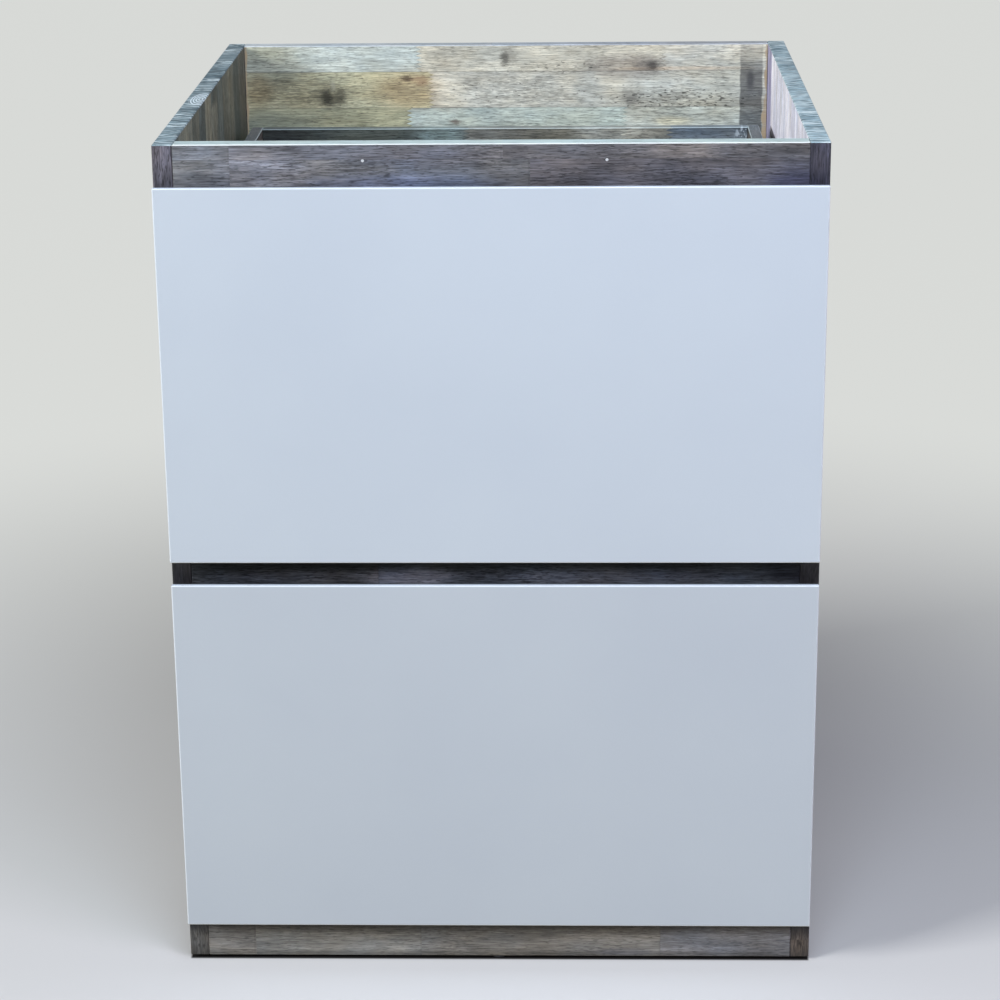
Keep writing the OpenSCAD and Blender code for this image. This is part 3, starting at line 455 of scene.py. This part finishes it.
def draw_back_panel(tree):
    place = place_on(tree)
    outer_tone, outer_lot, outer_joints = glued_staves(
        tree, place["X"], place["Z"], row=0.043, first=back_low.z, length=0.4,
        tones=outer_tones, seed=5.0)
    outer, height = stained_wood(
        tree, place["X"], place["Z"], place["Y"], outer_tone, outer_lot, outer_joints)
    tone, lot, joints = chosen_staves(
        tree, place["X"], place["Z"], back_low.x, back_high.x, [
            (chosen_from, [(0.3, "#b5bbb0")]),
            (0.7325, [(-0.103, "#b0b090"), (0.13, "#bfc9bc"), (0.3, "#bfc1b2")]),
            (0.7715, [(-0.079, "#c0bd9b"), (0.3, "#bcbbac")]),
            (0.81, [(-0.092, "#c0c8bd"), (0.172, "#c0bca8"), (0.3, "#c6c4b3")])], comb=2.8)

    # Behind the drawers the staves are as plain as outside, and as pale as inside.
    lower = add(tree, "Math", [place["Z"], chosen_from], operation="LESS_THAN")
    plain = add(tree, "ValToRGB", [add(tree, "SeparateXYZ", [outer_lot])], stops=[
        (0, "#a8a88f"), (0.3, "#b9beb2"), (0.55, "#9ca498"), (0.8, "#c2c3b4"), (1, "#a59c87")])
    tone = add(tree, "Mix", {0: lower, 6: tone, 7: plain}, out=2, data_type="RGBA")
    lot = add(tree, "Mix", {0: lower, 6: lot, 7: outer_lot}, out=2, data_type="RGBA")
    lower_joints = add(tree, "Math", [lower, outer_joints], operation="MULTIPLY")
    joints = add(tree, "Math", [joints, lower_joints], operation="MAXIMUM")

    # Tones that drift within a stave, each with its centre, reach, share and shade
    for centre, reach, share, shade in (
            ((-0.262, 0.777), (0.07, 0.03), 0.6, "#8f917c"),
            ((-0.27, 0.797), (0.06, 0.02), 0.7, "#b3b193"),
            ((-0.268, 0.752), (0.025, 0.025), 0.6, "#8a7853"),
            ((0.13, 0.777), (0.07, 0.02), 0.6, "#8d867c"),
            ((-0.1, 0.752), (0.06, 0.03), 0.65, "#9d8660"),
            ((-0.25, 0.716), (0.07, 0.02), 0.6, "#8b988c"),
            ((-0.06, 0.752), (0.03, 0.03), 0.6, "#d8d3bd"),
            ((0.18, 0.717), (0.03, 0.008), 0.8, "#cfc5a5"),
            ((0.09, 0.75), (0.025, 0.03), 0.4, "#a3aca9"),
            ((0.2, 0.774), (0.1, 0.003), 0.3, "#c9a47c")):
        patch = spot(tree, place, centre, reach, share)
        tone = add(tree, "Mix", {0: patch, 6: tone, 7: shade}, out=2, data_type="RGBA")

    # Patches with open pores and torn grain
    pores, torn = 0.0, 0.0
    for centre, reach, open_pores, tear in (
            ((0.185, 0.741), (0.11, 0.014), 0.18, 1.4), ((0.05, 0.776), (0.1, 0.009), 0.15, 0.9),
            ((-0.18, 0.752), (0.14, 0.022), 0.2, 0.5), ((0.02, 0.75), (0.14, 0.02), 0.17, 0.6)):
        patch = spot(tree, place, centre, reach, strength=1.0, heart=0.5)
        pores = add(tree, "Math", [
            pores, add(tree, "Math", [patch, open_pores], operation="MULTIPLY")], operation="MAXIMUM")
        torn = add(tree, "Math", [
            torn, add(tree, "Math", [patch, tear], operation="MULTIPLY")], operation="MAXIMUM")
    inner, _ = stained_wood(
        tree, place["X"], place["Z"], place["Y"], tone, lot, joints, depth=0.75, pores=pores)

    # Dark flecks, 4 mm long, where the planer tore out bundles of vessels
    fleck = add(tree, "TexNoise", {
        "Vector": add(tree, "CombineXYZ", [
            add(tree, "Math", [place["X"], 170], operation="MULTIPLY"), 0.0,
            add(tree, "Math", [place["Z"], 470], operation="MULTIPLY")]),
        "Scale": 1, "Detail": 1})
    fleck = add(tree, "Math", [torn, 0.12, fleck], operation="MULTIPLY_ADD")
    fleck = add(tree, "MapRange", [fleck, 0.73, 0.8, 0, 0.75])
    inner = add(tree, "Mix", {0: fleck, 6: inner, 7: "#3b3933"}, out=2, data_type="RGBA")

    # Knots, each of one to five patches
    for centre, reach, share, shade in (
            ((-0.19, 0.7465), (0.03, 0.018), 0.5, "#48463b"),
            ((-0.194, 0.744), (0.009, 0.014), 0.75, "#2a2921"),
            ((-0.179, 0.747), (0.008, 0.013), 0.5, "#33312a"),
            ((-0.187, 0.741), (0.018, 0.009), 0.5, "#2e2d25"),
            ((-0.187, 0.757), (0.004, 0.008), 0.5, "#a9a893"),
            ((-0.107, 0.764), (0.011, 0.005), 0.8, "#3c2a20"),
            ((-0.092, 0.762), (0.014, 0.008), 0.5, "#7f5a42"),
            ((0.004, 0.788), (0.015, 0.014), 0.45, "#55524a"),
            ((-0.001, 0.785), (0.007, 0.012), 0.6, "#33312b"),
            ((0.153, 0.779), (0.022, 0.013), 0.5, "#56504a"),
            ((0.158, 0.777), (0.009, 0.007), 0.7, "#2f2b28"),
            ((0.134, 0.743), (0.015, 0.012), 0.5, "#5c5c58"),
            ((-0.055, 0.717), (0.009, 0.004), 0.7, "#584438"),
            ((-0.07, 0.785), (0.02, 0.012), 0.3, "#6a685f")):
        patch = spot(tree, place, centre, reach, share, ragged=1.6)
        inner = add(tree, "Mix", {0: patch, 6: inner, 7: shade}, out=2, data_type="RGBA")

    # The right end has taken up more stain, less of it towards the top, up to a wavy edge.
    soaked_end = (0.2545, 0.2785)
    wave = add(tree, "TexNoise", {
        "Vector": add(tree, "CombineXYZ", [0.0, 0.0, place["Z"]]), "Scale": 90, "Detail": 3})
    soaked = add(tree, "Math", [wave, 0.004, place["X"]], operation="MULTIPLY_ADD")
    soaked = between(tree, soaked, *soaked_end, soft=0.0008)
    fading = add(tree, "MapRange", [place["Z"], 0.768, 0.79, 0.95, 0.35])
    soaked = add(tree, "Math", [soaked, fading], operation="MULTIPLY")
    drenched = add(tree, "VectorMath", [inner, (0.3, 0.305, 0.33)], operation="MULTIPLY")
    inner = add(tree, "Mix", {0: soaked, 6: inner, 7: drenched}, out=2, data_type="RGBA")
    darkest = spot(tree, place, (0.2635, 0.7605), (0.006, 0.016), strength=0.7)
    inner = add(tree, "Mix", {0: darkest, 6: inner, 7: "#3f3f42"}, out=2, data_type="RGBA")

    # Bare wood shows beside both corners, where squeezed-out glue kept the stain off. The bare strip
    # is 1.4 to 3.6 mm wide, and up to 2.6 mm wider low down on the right.
    bead = add(tree, "TexNoise", {
        "Vector": add(tree, "CombineXYZ", [place["X"], 0.0, place["Z"]]), "Scale": 55, "Detail": 3})
    right = add(tree, "Math", [place["X"], 0], operation="GREATER_THAN")
    wider = add(tree, "MapRange", [place["Z"], 0.722, 0.748, 0.0026, 0])
    wider = add(tree, "Math", [wider, right], operation="MULTIPLY")
    limit = add(tree, "MapRange", [bead, 0.35, 0.65, 0.2806, 0.2784])
    limit = add(tree, "Math", [limit, wider], operation="SUBTRACT")
    off_centre = add(tree, "Math", [place["X"]], operation="ABSOLUTE")
    bare = add(tree, "Math", [off_centre, limit], operation="GREATER_THAN")
    patchy = add(tree, "MapRange", [bead, 0.3, 0.6, 0.35, 0.95])
    bare = add(tree, "Math", [bare, patchy], operation="MULTIPLY")
    inner = add(tree, "Mix", {0: bare, 6: inner, 7: "#b8a484"}, out=2, data_type="RGBA")
    inside = add(tree, "Math", [place["Y"], back_low.y + face_reach], operation="LESS_THAN")
    colour = add(tree, "Mix", {0: inside, 6: outer, 7: inner}, out=2, data_type="RGBA")

    # The top edge was planed last, and is paler and streaky.
    top = add(tree, "Math", [place["Z"], unit_top - ease_reach], operation="GREATER_THAN")
    streaky = add(tree, "ValToRGB", [add(tree, "MapRange", [place["X"], -0.3, 0.3, 0, 1])],
                  stops=[(0.2, "#96a4a8"), (0.7, "#6f767b")])
    streaky = add(tree, "VectorMath", [outer, (1.2, 1.2, 1.2), streaky], operation="MULTIPLY_ADD")
    colour = add(tree, "Mix", {0: top, 6: colour, 7: streaky}, out=2, data_type="RGBA")
    return wood_skin(colour, height)


dress(finish("back_panel_stain", draw_back_panel), "back_panel")


# Bottom panel. A stave board between the side panels, behind the plinth rail and under the lower
# drawer, which four dowels hold at each end. It is stained thinly.
def draw_bottom_panel(tree):
    place = place_on(tree)
    tone, lot, joints = glued_staves(
        tree, place["X"], place["Y"], row=0.045, first=carcass_front, length=0.4,
        tones=["#7c8078", "#8f928a", "#9a9a90"], seed=11.0)
    colour, height = stained_wood(tree, place["X"], place["Y"], place["Z"], tone, lot, joints)
    return wood_skin(colour, height)


dress(finish("bottom_panel_stain", draw_bottom_panel), "bottom_panel")


# Front rails. Three lying boards between the sides, cut from the same panels and stained dark grey.
# Their top edges are pale, partly sanded after staining and partly painted light from above, and
# their front arris carries a painted highlight.
def front_rail_finish(part, rows, top_tone, arris_highlight_tone, tints, depth, gloss=0.4):
    """The tints are patches of stain, painted shade and painted light, each with its centre, reach,
    share and shade.
    """
    low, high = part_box(part)

    def draw(tree):
        place = place_on(tree)
        tone, lot, joints = chosen_staves(
            tree, place["X"], place["Z"], low.x, high.x, rows, comb=0.0)
        for centre, reach, share, shade in tints:
            patch = spot(tree, place, centre, reach, share, heart=0.35, ragged=0.5)
            tone = add(tree, "Mix", {0: patch, 6: tone, 7: shade}, out=2, data_type="RGBA")
        joints = add(tree, "Math", [joints, 0.5], operation="MULTIPLY")
        colour, height = stained_wood(
            tree, place["X"], place["Z"], place["Y"], tone, lot, joints, depth=depth)
        # The top face is painted pale, partly as sanding and partly as painted light from above.
        top = add(tree, "Math", [place["Z"], high.z - face_reach], operation="GREATER_THAN")
        sanded_with_highlight, _ = stained_wood(
            tree, place["X"], place["Z"], place["Y"], paint(top_tone)[:3], lot, joints=0.0, depth=0.35)
        colour = add(tree, "Mix", {0: top, 6: colour, 7: sanded_with_highlight}, out=2, data_type="RGBA")
        # The front arris carries a painted highlight.
        arris_highlight = add(tree, "Math", [
            add(tree, "Math", [place["Z"], high.z - ease_reach], operation="GREATER_THAN"),
            add(tree, "Math", [place["Y"], low.y + ease_reach], operation="LESS_THAN")],
            operation="MULTIPLY")
        colour = add(tree, "Mix", {0: arris_highlight, 6: colour, 7: arris_highlight_tone}, out=2, data_type="RGBA")
        return wood_skin(colour, height, roughness=0.48, gloss=gloss)
    return finish(part + "_stain", draw)


dress(front_rail_finish(
    "top_front_rail",
    rows=[
        (0.786, [(-0.232, "#686a6c"), (0.034, "#636569"), (0.3, "#535257")]),
        (0.81, [(-0.232, "#747679"), (0.0095, "#68686c"), (0.3, "#5f5e61")])],
    top_tone="#becec9", arris_highlight_tone="#d1d7d2",
    tints=[
        ((-0.09, 0.757), (0.12, 0.022), 0.85, "#535b6e"),
        ((-0.2, 0.775), (0.06, 0.02), 0.4, "#7d7e86"),
        ((-0.215, 0.787), (0.04, 0.014), 0.5, "#85868c"),
        ((-0.06, 0.787), (0.08, 0.013), 0.6, "#5c5d65"),
        ((-0.262, 0.757), (0.06, 0.02), 0.7, "#4f5257"),
        ((0.275, 0.755), (0.05, 0.033), 0.75, "#2e2f42"),
        ((0.1, 0.747), (0.3, 0.011), 0.6, "#3d3c44")],
    depth=1.15), "top_front_rail")
# The middle rail lies deep in the gap between the fronts. Its tones are painted dark as painted shade,
# the tint high up paints the shadow under the upper front, the one at the right end paints shade there,
# and the paler tints low down paint the light that reaches in.
dress(front_rail_finish(
    "middle_front_rail",
    rows=[(0.44, [(-0.108, "#34373a"), (0.3, "#404448")])],
    top_tone="#5f6169", arris_highlight_tone="#7c7e86",
    tints=[
        ((-0.08, 0.395), (0.06, 0.012), 0.85, "#6f727d"),
        ((0.1, 0.395), (0.16, 0.011), 0.5, "#60636c"),
        ((-0.18, 0.395), (0.1, 0.009), 0.6, "#4e5055"),
        ((0.285, 0.404), (0.05, 0.03), 0.8, "#202026"),
        ((0.0, 0.413), (0.7, 0.02), 0.75, "#232628")],
    depth=1.1, gloss=0.12), "middle_front_rail")
# The first two tints paint the shadow under the lower front, and the third paints shade along the
# floor.
dress(front_rail_finish(
    "plinth_rail",
    rows=[(0.07, [(-0.237, "#7c7b78"), (-0.0755, "#82827e"), (0.156, "#807f7b"), (0.3, "#797a7d")])],
    top_tone="#84868a", arris_highlight_tone="#9a9a9a",
    tints=[
        ((0.0, 0.047), (1.2, 0.025), 0.9, "#2b211c"),
        ((0.0, 0.046), (1.2, 0.0135), 0.9, "#140f0d"),
        ((0.0, 0.003), (1.2, 0.008), 0.55, "#36342f"),
        ((0.12, 0.008), (0.04, 0.006), 0.6, "#4f5158")],
    depth=0.8), "plinth_rail")


# Dowels. Raw beech pins, pressed and glued into the boards and hidden once the unit is together. The
# flecks of the wood are drawn 1 mm wide and 7 mm long.
def draw_beech(tree):
    place = place_on(tree)
    point = add(tree, "CombineXYZ", [place["X"], place["Y"], place["Z"]])
    flecks = add(tree, "TexNoise", {
        "Vector": add(tree, "VectorMath", [point, (150, 900, 900)], operation="MULTIPLY"),
        "Scale": 1, "Detail": 2})
    colour = add(tree, "ValToRGB", [flecks], stops=[
        (0.35, "#d9bd90"), (0.6, "#c9a878"), (0.7, "#a98254")])
    return {"Base Color": colour, "Roughness": 0.6}


dress(finish("raw_beech", draw_beech), "carcass_dowels", "upper_box_dowels", "lower_box_dowels")


# Filled pin holes. Two nail-gun pins hold the top rail, and white paste fills the holes over their
# heads. It has dried matt and chalky, with a dust that is drawn 0.4 mm coarse.
def draw_filler(tree):
    dust = add(tree, "TexNoise", {"Vector": add(tree, "TexCoord", out="Object"), "Scale": 2500})
    colour = add(tree, "ValToRGB", [dust], stops=[(0.3, "#b4b9bb"), (0.7, "#cdd1d2")])
    return {"Base Color": colour, "Roughness": 0.8}


dress(finish("dry_filler", draw_filler), "rail_pin_fillings")


# Floor glides and slide buffers. Moulded black polyethylene, with the fine texture of a sparked mould,
# whose grit is drawn 0.6 mm coarse to show.
def draw_black_plastic(tree):
    point = add(tree, "TexCoord", out="Object")
    grit = add(tree, "TexNoise", {"Vector": point, "Scale": 1800, "Detail": 2})
    colour = add(tree, "ValToRGB", [grit], stops=[(0.3, "#1f2022"), (0.7, "#2e2f32")])
    return {"Base Color": colour, "Roughness": 0.55, "Height": grit, "Relief": 0.0001}


dress(finish("black_polyethylene", draw_black_plastic), "floor_glides", "slide_end_buffers")


# Slides. Cold-rolled steel strip, rolled to its section along its length and zinc plated: bright, with
# faint blue and straw clouds of the passivation, and with drawing lines along the slide, which are
# drawn 0.4 mm apart to show.
def draw_zinc(tree):
    point = add(tree, "TexCoord", out="Object")
    lines = add(tree, "TexNoise", {
        "Vector": add(tree, "VectorMath", [point, (2600, 14, 2600)], operation="MULTIPLY"),
        "Scale": 1, "Detail": 2})
    cloud = add(tree, "TexNoise", {"Vector": point, "Scale": 28, "Detail": 3})
    colour = add(tree, "ValToRGB", [cloud], stops=[
        (0.35, "#bcc2c7"), (0.5, "#c9ccce"), (0.65, "#cbc8c0")])
    return {"Base Color": colour, "Metallic": 1.0,
            "Roughness": add(tree, "MapRange", [lines, 0.3, 0.7, 0.24, 0.42]),
            "Height": lines, "Relief": 0.00004}


dress(finish("zinc_plated_strip", draw_zinc), *(
    f"{level}_{hand}_slide_{member}" for level in ("upper", "lower") for hand in ("left", "right")
    for member in ("outer", "middle", "inner")))


# Screws. Steel wood screws with cross recesses, forged, thread-rolled and zinc plated. They are a
# little duller than the slides, in patches about 1 mm wide.
def draw_screw(tree):
    point = add(tree, "TexCoord", out="Object")
    wear = add(tree, "TexNoise", {"Vector": point, "Scale": 900, "Detail": 2})
    colour = add(tree, "ValToRGB", [wear], stops=[(0.35, "#9fa3a6"), (0.65, "#c6c8c8")])
    return {"Base Color": colour, "Metallic": 1.0,
            "Roughness": add(tree, "MapRange", [wear, 0.3, 0.7, 0.3, 0.5])}


dress(finish("plated_screws", draw_screw), "slide_cabinet_screws", "upper_slide_box_screws",
      "lower_slide_box_screws", "upper_front_screws", "lower_front_screws")


# Ball cages. Pressed steel strip that holds the balls of a slide apart. Its yellow passivation drifts
# to green and pink, in clouds about 17 mm wide.
def draw_cage(tree):
    point = add(tree, "TexCoord", out="Object")
    film = add(tree, "TexNoise", {"Vector": point, "Scale": 60, "Detail": 2})
    colour = add(tree, "ValToRGB", [film], stops=[
        (0.3, "#a9a86a"), (0.45, "#c8b36c"), (0.6, "#cfae78"), (0.72, "#c49a86")])
    return {"Base Color": colour, "Metallic": 1.0,
            "Roughness": add(tree, "MapRange", [film, 0.3, 0.7, 0.3, 0.42])}


dress(finish("passivated_cage", draw_cage), *(
    f"{level}_{hand}_{ring}_cage" for level in ("upper", "lower") for hand in ("left", "right")
    for ring in ("outer", "inner")))


# Bearing balls. Hardened steel, ground and polished, that runs between the members of the slides. A
# film of grease dulls the balls in patches about 2 mm wide.
def draw_ball(tree):
    point = add(tree, "TexCoord", out="Object")
    film = add(tree, "TexNoise", {"Vector": point, "Scale": 500, "Detail": 2})
    return {"Base Color": "#d6d8da", "Metallic": 1.0,
            "Roughness": add(tree, "MapRange", [film, 0.4, 0.7, 0.06, 0.22])}


dress(finish("polished_balls", draw_ball), "upper_outer_balls", "upper_inner_balls",
      "lower_outer_balls", "lower_inner_balls")


# Drawer boxes. Thinner stave boards that are doweled together, in the carcass's stain but darker and
# browner. Their rims were sanded pale.
box_row, flat_reach = 0.046, 0.0001
box_tones = ["#5a534d", "#6a645d", "#4f4d4d", "#625c58", "#585b5e"]


def box_board_finish(part, along, through, seed, row=None, tints=()):
    """along and through name the axes along a board's staves and through it. row gives the staves of
    the row that shows over the top rail, and the tints their shades."""
    low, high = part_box(part)

    def draw(tree):
        place = place_on(tree)
        tone, lot, joints = glued_staves(
            tree, place[along], place["Z"], row=0.044, first=high.z - box_row, length=0.34,
            tones=box_tones, seed=seed)
        if row:
            rim_tone, rim_lot, _ = chosen_staves(
                tree, place["X"], place["Z"], low.x, high.x, [(high.z, row)], comb=3.6)
            upper = add(tree, "Math", [place["Z"], high.z - box_row], operation="GREATER_THAN")
            tone = add(tree, "Mix", {0: upper, 6: tone, 7: rim_tone}, out=2, data_type="RGBA")
            lot = add(tree, "Mix", {0: upper, 6: lot, 7: rim_lot}, out=2, data_type="RGBA")
        for centre, reach, share, shade in tints:
            patch = spot(tree, place, centre, reach, share, heart=0.35, ragged=0.5)
            tone = add(tree, "Mix", {0: patch, 6: tone, 7: shade}, out=2, data_type="RGBA")
        colour, height = stained_wood(
            tree, place[along], place["Z"], place[through], tone, lot, joints)
        if row:
            # A smear of dried glue in the right corner
            smear = add(tree, "CombineXYZ", [place["X"], 0.0, place["Z"]])
            smear = add(tree, "TexNoise", {
                "Vector": add(tree, "VectorMath", [smear, (300, 0, 90)], operation="MULTIPLY"),
                "Scale": 1, "Detail": 2, "Distortion": 1.5})
            smear = add(tree, "MapRange", [smear, 0.54, 0.6, 0, 1])
            glue = spot(tree, place, (0.2515, 0.7135), (0.01, 0.015), strength=0.5, heart=0.5)
            glue = add(tree, "Math", [smear, glue], operation="MULTIPLY")
            colour = add(tree, "Mix", {0: glue, 6: colour, 7: "#cdd8e0"}, out=2, data_type="RGBA")

        # The rim was sanded pale, and its two arrises carry a painted highlight that is paler than the
        # flat between them.
        rim = add(tree, "Math", [place["Z"], high.z - ease_reach], operation="GREATER_THAN")
        flat = add(tree, "Math", [place["Z"], high.z - flat_reach], operation="GREATER_THAN")
        sanded_with_highlight = add(tree, "Mix", {0: flat, 6: "#929f9e", 7: "#52595b"}, out=2, data_type="RGBA")
        sanded_with_highlight = add(tree, "VectorMath", [colour, (0.9, 0.9, 0.9), sanded_with_highlight], operation="MULTIPLY_ADD")
        colour = add(tree, "Mix", {0: rim, 6: colour, 7: sanded_with_highlight}, out=2, data_type="RGBA")
        return wood_skin(colour, height)
    return finish(part + "_stain", draw)


seen_row = [(-0.037, "#585f57"), (0.13, "#727165"), (0.178, "#808077"), (0.3, "#636c73")]
seen_tints = [
    ((-0.25, 0.71), (0.07, 0.03), 0.85, "#2b2f2e"), ((-0.068, 0.712), (0.034, 0.03), 0.65, "#7c8f8b"),
    ((-0.01, 0.712), (0.05, 0.03), 0.6, "#62635d"), ((0.112, 0.712), (0.05, 0.03), 0.8, "#9e9f94")]
for count, level in enumerate(("upper", "lower")):
    for turn, (end, along, through) in enumerate((
            ("left_side", "Y", "X"), ("right_side", "Y", "X"),
            ("back", "X", "Y"), ("inner_front", "X", "Y"))):
        part = f"{level}_box_{end}"
        seen = (seen_row, seen_tints) if part == "upper_box_back" else ()
        dress(box_board_finish(part, along, through, 20.0 + 4 * count + turn, *seen), part)


# Drawer bottoms. Plywood, 8 mm thick, in a groove of the box's boards. Its face veneer is cut plain,
# in leaves 190 mm wide, and washed with the same stain.
def draw_tray(tree):
    leaf_width = 0.19
    place = place_on(tree)
    leaf = add(tree, "Math", [place["X"], 1 / leaf_width], operation="MULTIPLY")
    leaf = add(tree, "Math", [leaf], operation="FLOOR")
    lot = add(tree, "TexWhiteNoise", {"W": leaf}, out=1, noise_dimensions="1D")
    pick = add(tree, "SeparateXYZ", [lot])
    tone = add(tree, "ValToRGB", [pick], stops=[(0, "#8c877c"), (1, "#827f78")])
    colour, height = stained_wood(
        tree, place["Y"], place["X"], place["Z"], tone, lot, joints=0.0, depth=0.8)
    return wood_skin(colour, height, roughness=0.55)


dress(finish("tray_veneer", draw_tray), "upper_box_bottom", "lower_box_bottom")


# Drawer fronts. Fibreboard sprayed all round with a pale blue-grey satin lacquer. The film is smooth
# with a faint orange peel about 3 mm across, and its shade drifts very slightly over the panel. A
# painted highlight runs along the arrises.
def lacquer_finish(part, shades):
    """shades are the two that the lacquer drifts between."""
    arris_width, arris_end = 0.001, 0.0016
    low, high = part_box(part)

    def draw(tree):
        place = place_on(tree)
        point = add(tree, "TexCoord", out="Object")
        drift = add(tree, "TexNoise", {"Vector": point, "Scale": 5, "Detail": 3})
        peel = add(tree, "TexNoise", {"Vector": point, "Scale": 340, "Detail": 1})
        colour = add(tree, "ValToRGB", [drift], stops=list(zip((0.3, 0.7), shades)))
        face = add(tree, "Math", [
            between(tree, place["X"], low.x + arris_width, high.x - arris_width),
            between(tree, place["Z"], low.z + arris_width, high.z - arris_width)],
            operation="MULTIPLY")
        round_front = add(tree, "MapRange", [
            place["Y"], low.y + arris_width, low.y + arris_end, 1, 0])
        # A painted highlight lies along the arrises.
        arris_highlight = add(tree, "Math", [1.0, face], operation="SUBTRACT")
        arris_highlight = add(tree, "Math", [arris_highlight, round_front], operation="MULTIPLY")
        colour = add(tree, "Mix", {0: arris_highlight, 6: colour, 7: "#d3dbe3"}, out=2, data_type="RGBA")
        return {"Base Color": colour,
                "Roughness": add(tree, "MapRange", [drift, 0.3, 0.7, 0.36, 0.42]),
                "Specular IOR Level": 0.5, "Height": peel, "Relief": 0.00006}
    return finish(part + "_lacquer", draw)


# The lower front's shades are a little darker than the upper's, as painted shade for the light that
# falls off towards the floor.
for part, shades in (("upper_front", ("#b7c1cb", "#bbc5ce")), ("lower_front", ("#b1bac3", "#b5bec6"))):
    dress(lacquer_finish(part, shades), part)


# Bumpers. Self-adhesive discs of clear soft rubber on the backs of the fronts, in line with the edges
# of the side panels. A haze of spots about 1.5 mm wide clouds the rubber.
def draw_rubber(tree):
    haze = add(tree, "TexNoise", {"Vector": add(tree, "TexCoord", out="Object"), "Scale": 700})
    colour = add(tree, "ValToRGB", [haze], stops=[(0.3, "#c2c7c7"), (0.7, "#d6dada")])
    return {"Base Color": colour, "Roughness": 0.35, "Transmission Weight": 0.35}


dress(finish("clear_rubber", draw_rubber), "upper_bumpers", "lower_bumpers")


# Floor. A wide pale sheet, which isn't part of the unit. Far off the camera sees it as an even pale
# backdrop, while near the unit it keeps its own light and the unit's shadow. Right below the unit it
# is painted dark as a painted contact shadow, and the light that it throws back up is warm.
floor_mesh = bpy.data.meshes.new("floor")
form = bmesh.new()
bmesh.ops.create_grid(form, x_segments=4, y_segments=4, size=16)
form.to_mesh(floor_mesh)
form.free()
floor = bpy.data.objects.new("floor", floor_mesh)
bpy.context.scene.collection.objects.link(floor)
sheet = bpy.data.materials.new("floor_sheet")
floor_mesh.materials.append(sheet)
sheet.use_nodes = True
ground = sheet.node_tree
ground.nodes.clear()
spread = add(ground, "TexCoord", out="Object")
clouded = add(ground, "TexNoise", {"Vector": spread, "Scale": 0.8})
pale = add(ground, "ValToRGB", [clouded], stops=[(0.3, "#cccbc7"), (0.7, "#d1d0cd")])
rays = add(ground, "LightPath").node.outputs
pale = add(ground, "Mix", {0: rays["Is Diffuse Ray"], 6: pale, 7: "#958962"}, out=2, data_type="RGBA")
point = add(ground, "SeparateXYZ", [spread]).node.outputs
# Right below the unit the floor is painted dark, as a painted contact shadow.
shadow_across, shadow_deep = (-0.3, 0.3), (-0.28, 0.3)
under = add(ground, "Math", [
    between(ground, point["X"], *shadow_across, soft=0.001),
    between(ground, point["Y"], *shadow_deep, soft=0.0015)], operation="MULTIPLY")
pale = add(ground, "Mix", {0: under, 6: pale, 7: "#1f1e1d"}, out=2, data_type="RGBA")
skin = add(ground, "BsdfPrincipled", {
    "Base Color": pale, "Roughness": 0.8, "Specular IOR Level": 0.2})
glow = add(ground, "Emission", {"Color": "#dcdedb", "Strength": 1.0})
seen = add(ground, "Math", [rays["Is Camera Ray"], rays["Is Glossy Ray"]], operation="MAXIMUM")
far = add(ground, "VectorMath", [spread], out=1, operation="LENGTH")
far = add(ground, "MapRange", [far, 0.4, 1.7, 0, 0.94], interpolation_type="SMOOTHSTEP")
far = add(ground, "Math", [seen, far], operation="MULTIPLY")
add(ground, "OutputMaterial", [add(ground, "MixShader", [far, skin, glow])])


# Light. A broad soft lamp stands far off to the left of the front and 3 metres up. A second one hangs
# above the front, a weaker one fills from the right, and the room is an even pale grey.
def soft_box(name, place, aim, size, power, shade):
    """A square lamp that faces a point of the unit."""
    light = bpy.data.lights.new(name, "AREA")
    light.shape = "SQUARE"
    light.size = size
    light.energy = power
    light.color = paint(shade)[:3]
    lamp = bpy.data.objects.new(name, light)
    lamp.location = place
    lamp.rotation_euler = (Vector(aim) - Vector(place)).to_track_quat("-Z", "Y").to_euler()
    bpy.context.scene.collection.objects.link(lamp)


soft_box("key_light", place=(-5.1, -2.9, 3.0), aim=(0, 0, 0.5), size=2.2, power=386, shade="#fbfcff")
soft_box("top_light", place=(0.2, -1.6, 2.45), aim=(0, -0.2, 0.6), size=1.1, power=38, shade="#dcebff")
soft_box("fill_light", place=(2.6, -2.4, 1.8), aim=(0, 0, 0.6), size=1.6, power=60, shade="#f0e9ff")
world = bpy.data.worlds.new("room")
bpy.context.scene.world = world
world.use_nodes = True
world.node_tree.nodes.clear()
room = add(world.node_tree, "Background", {"Color": "#f4f6f8", "Strength": 0.19})
add(world.node_tree, "OutputWorld", [room])
bpy.context.scene.view_settings.view_transform = "Standard"
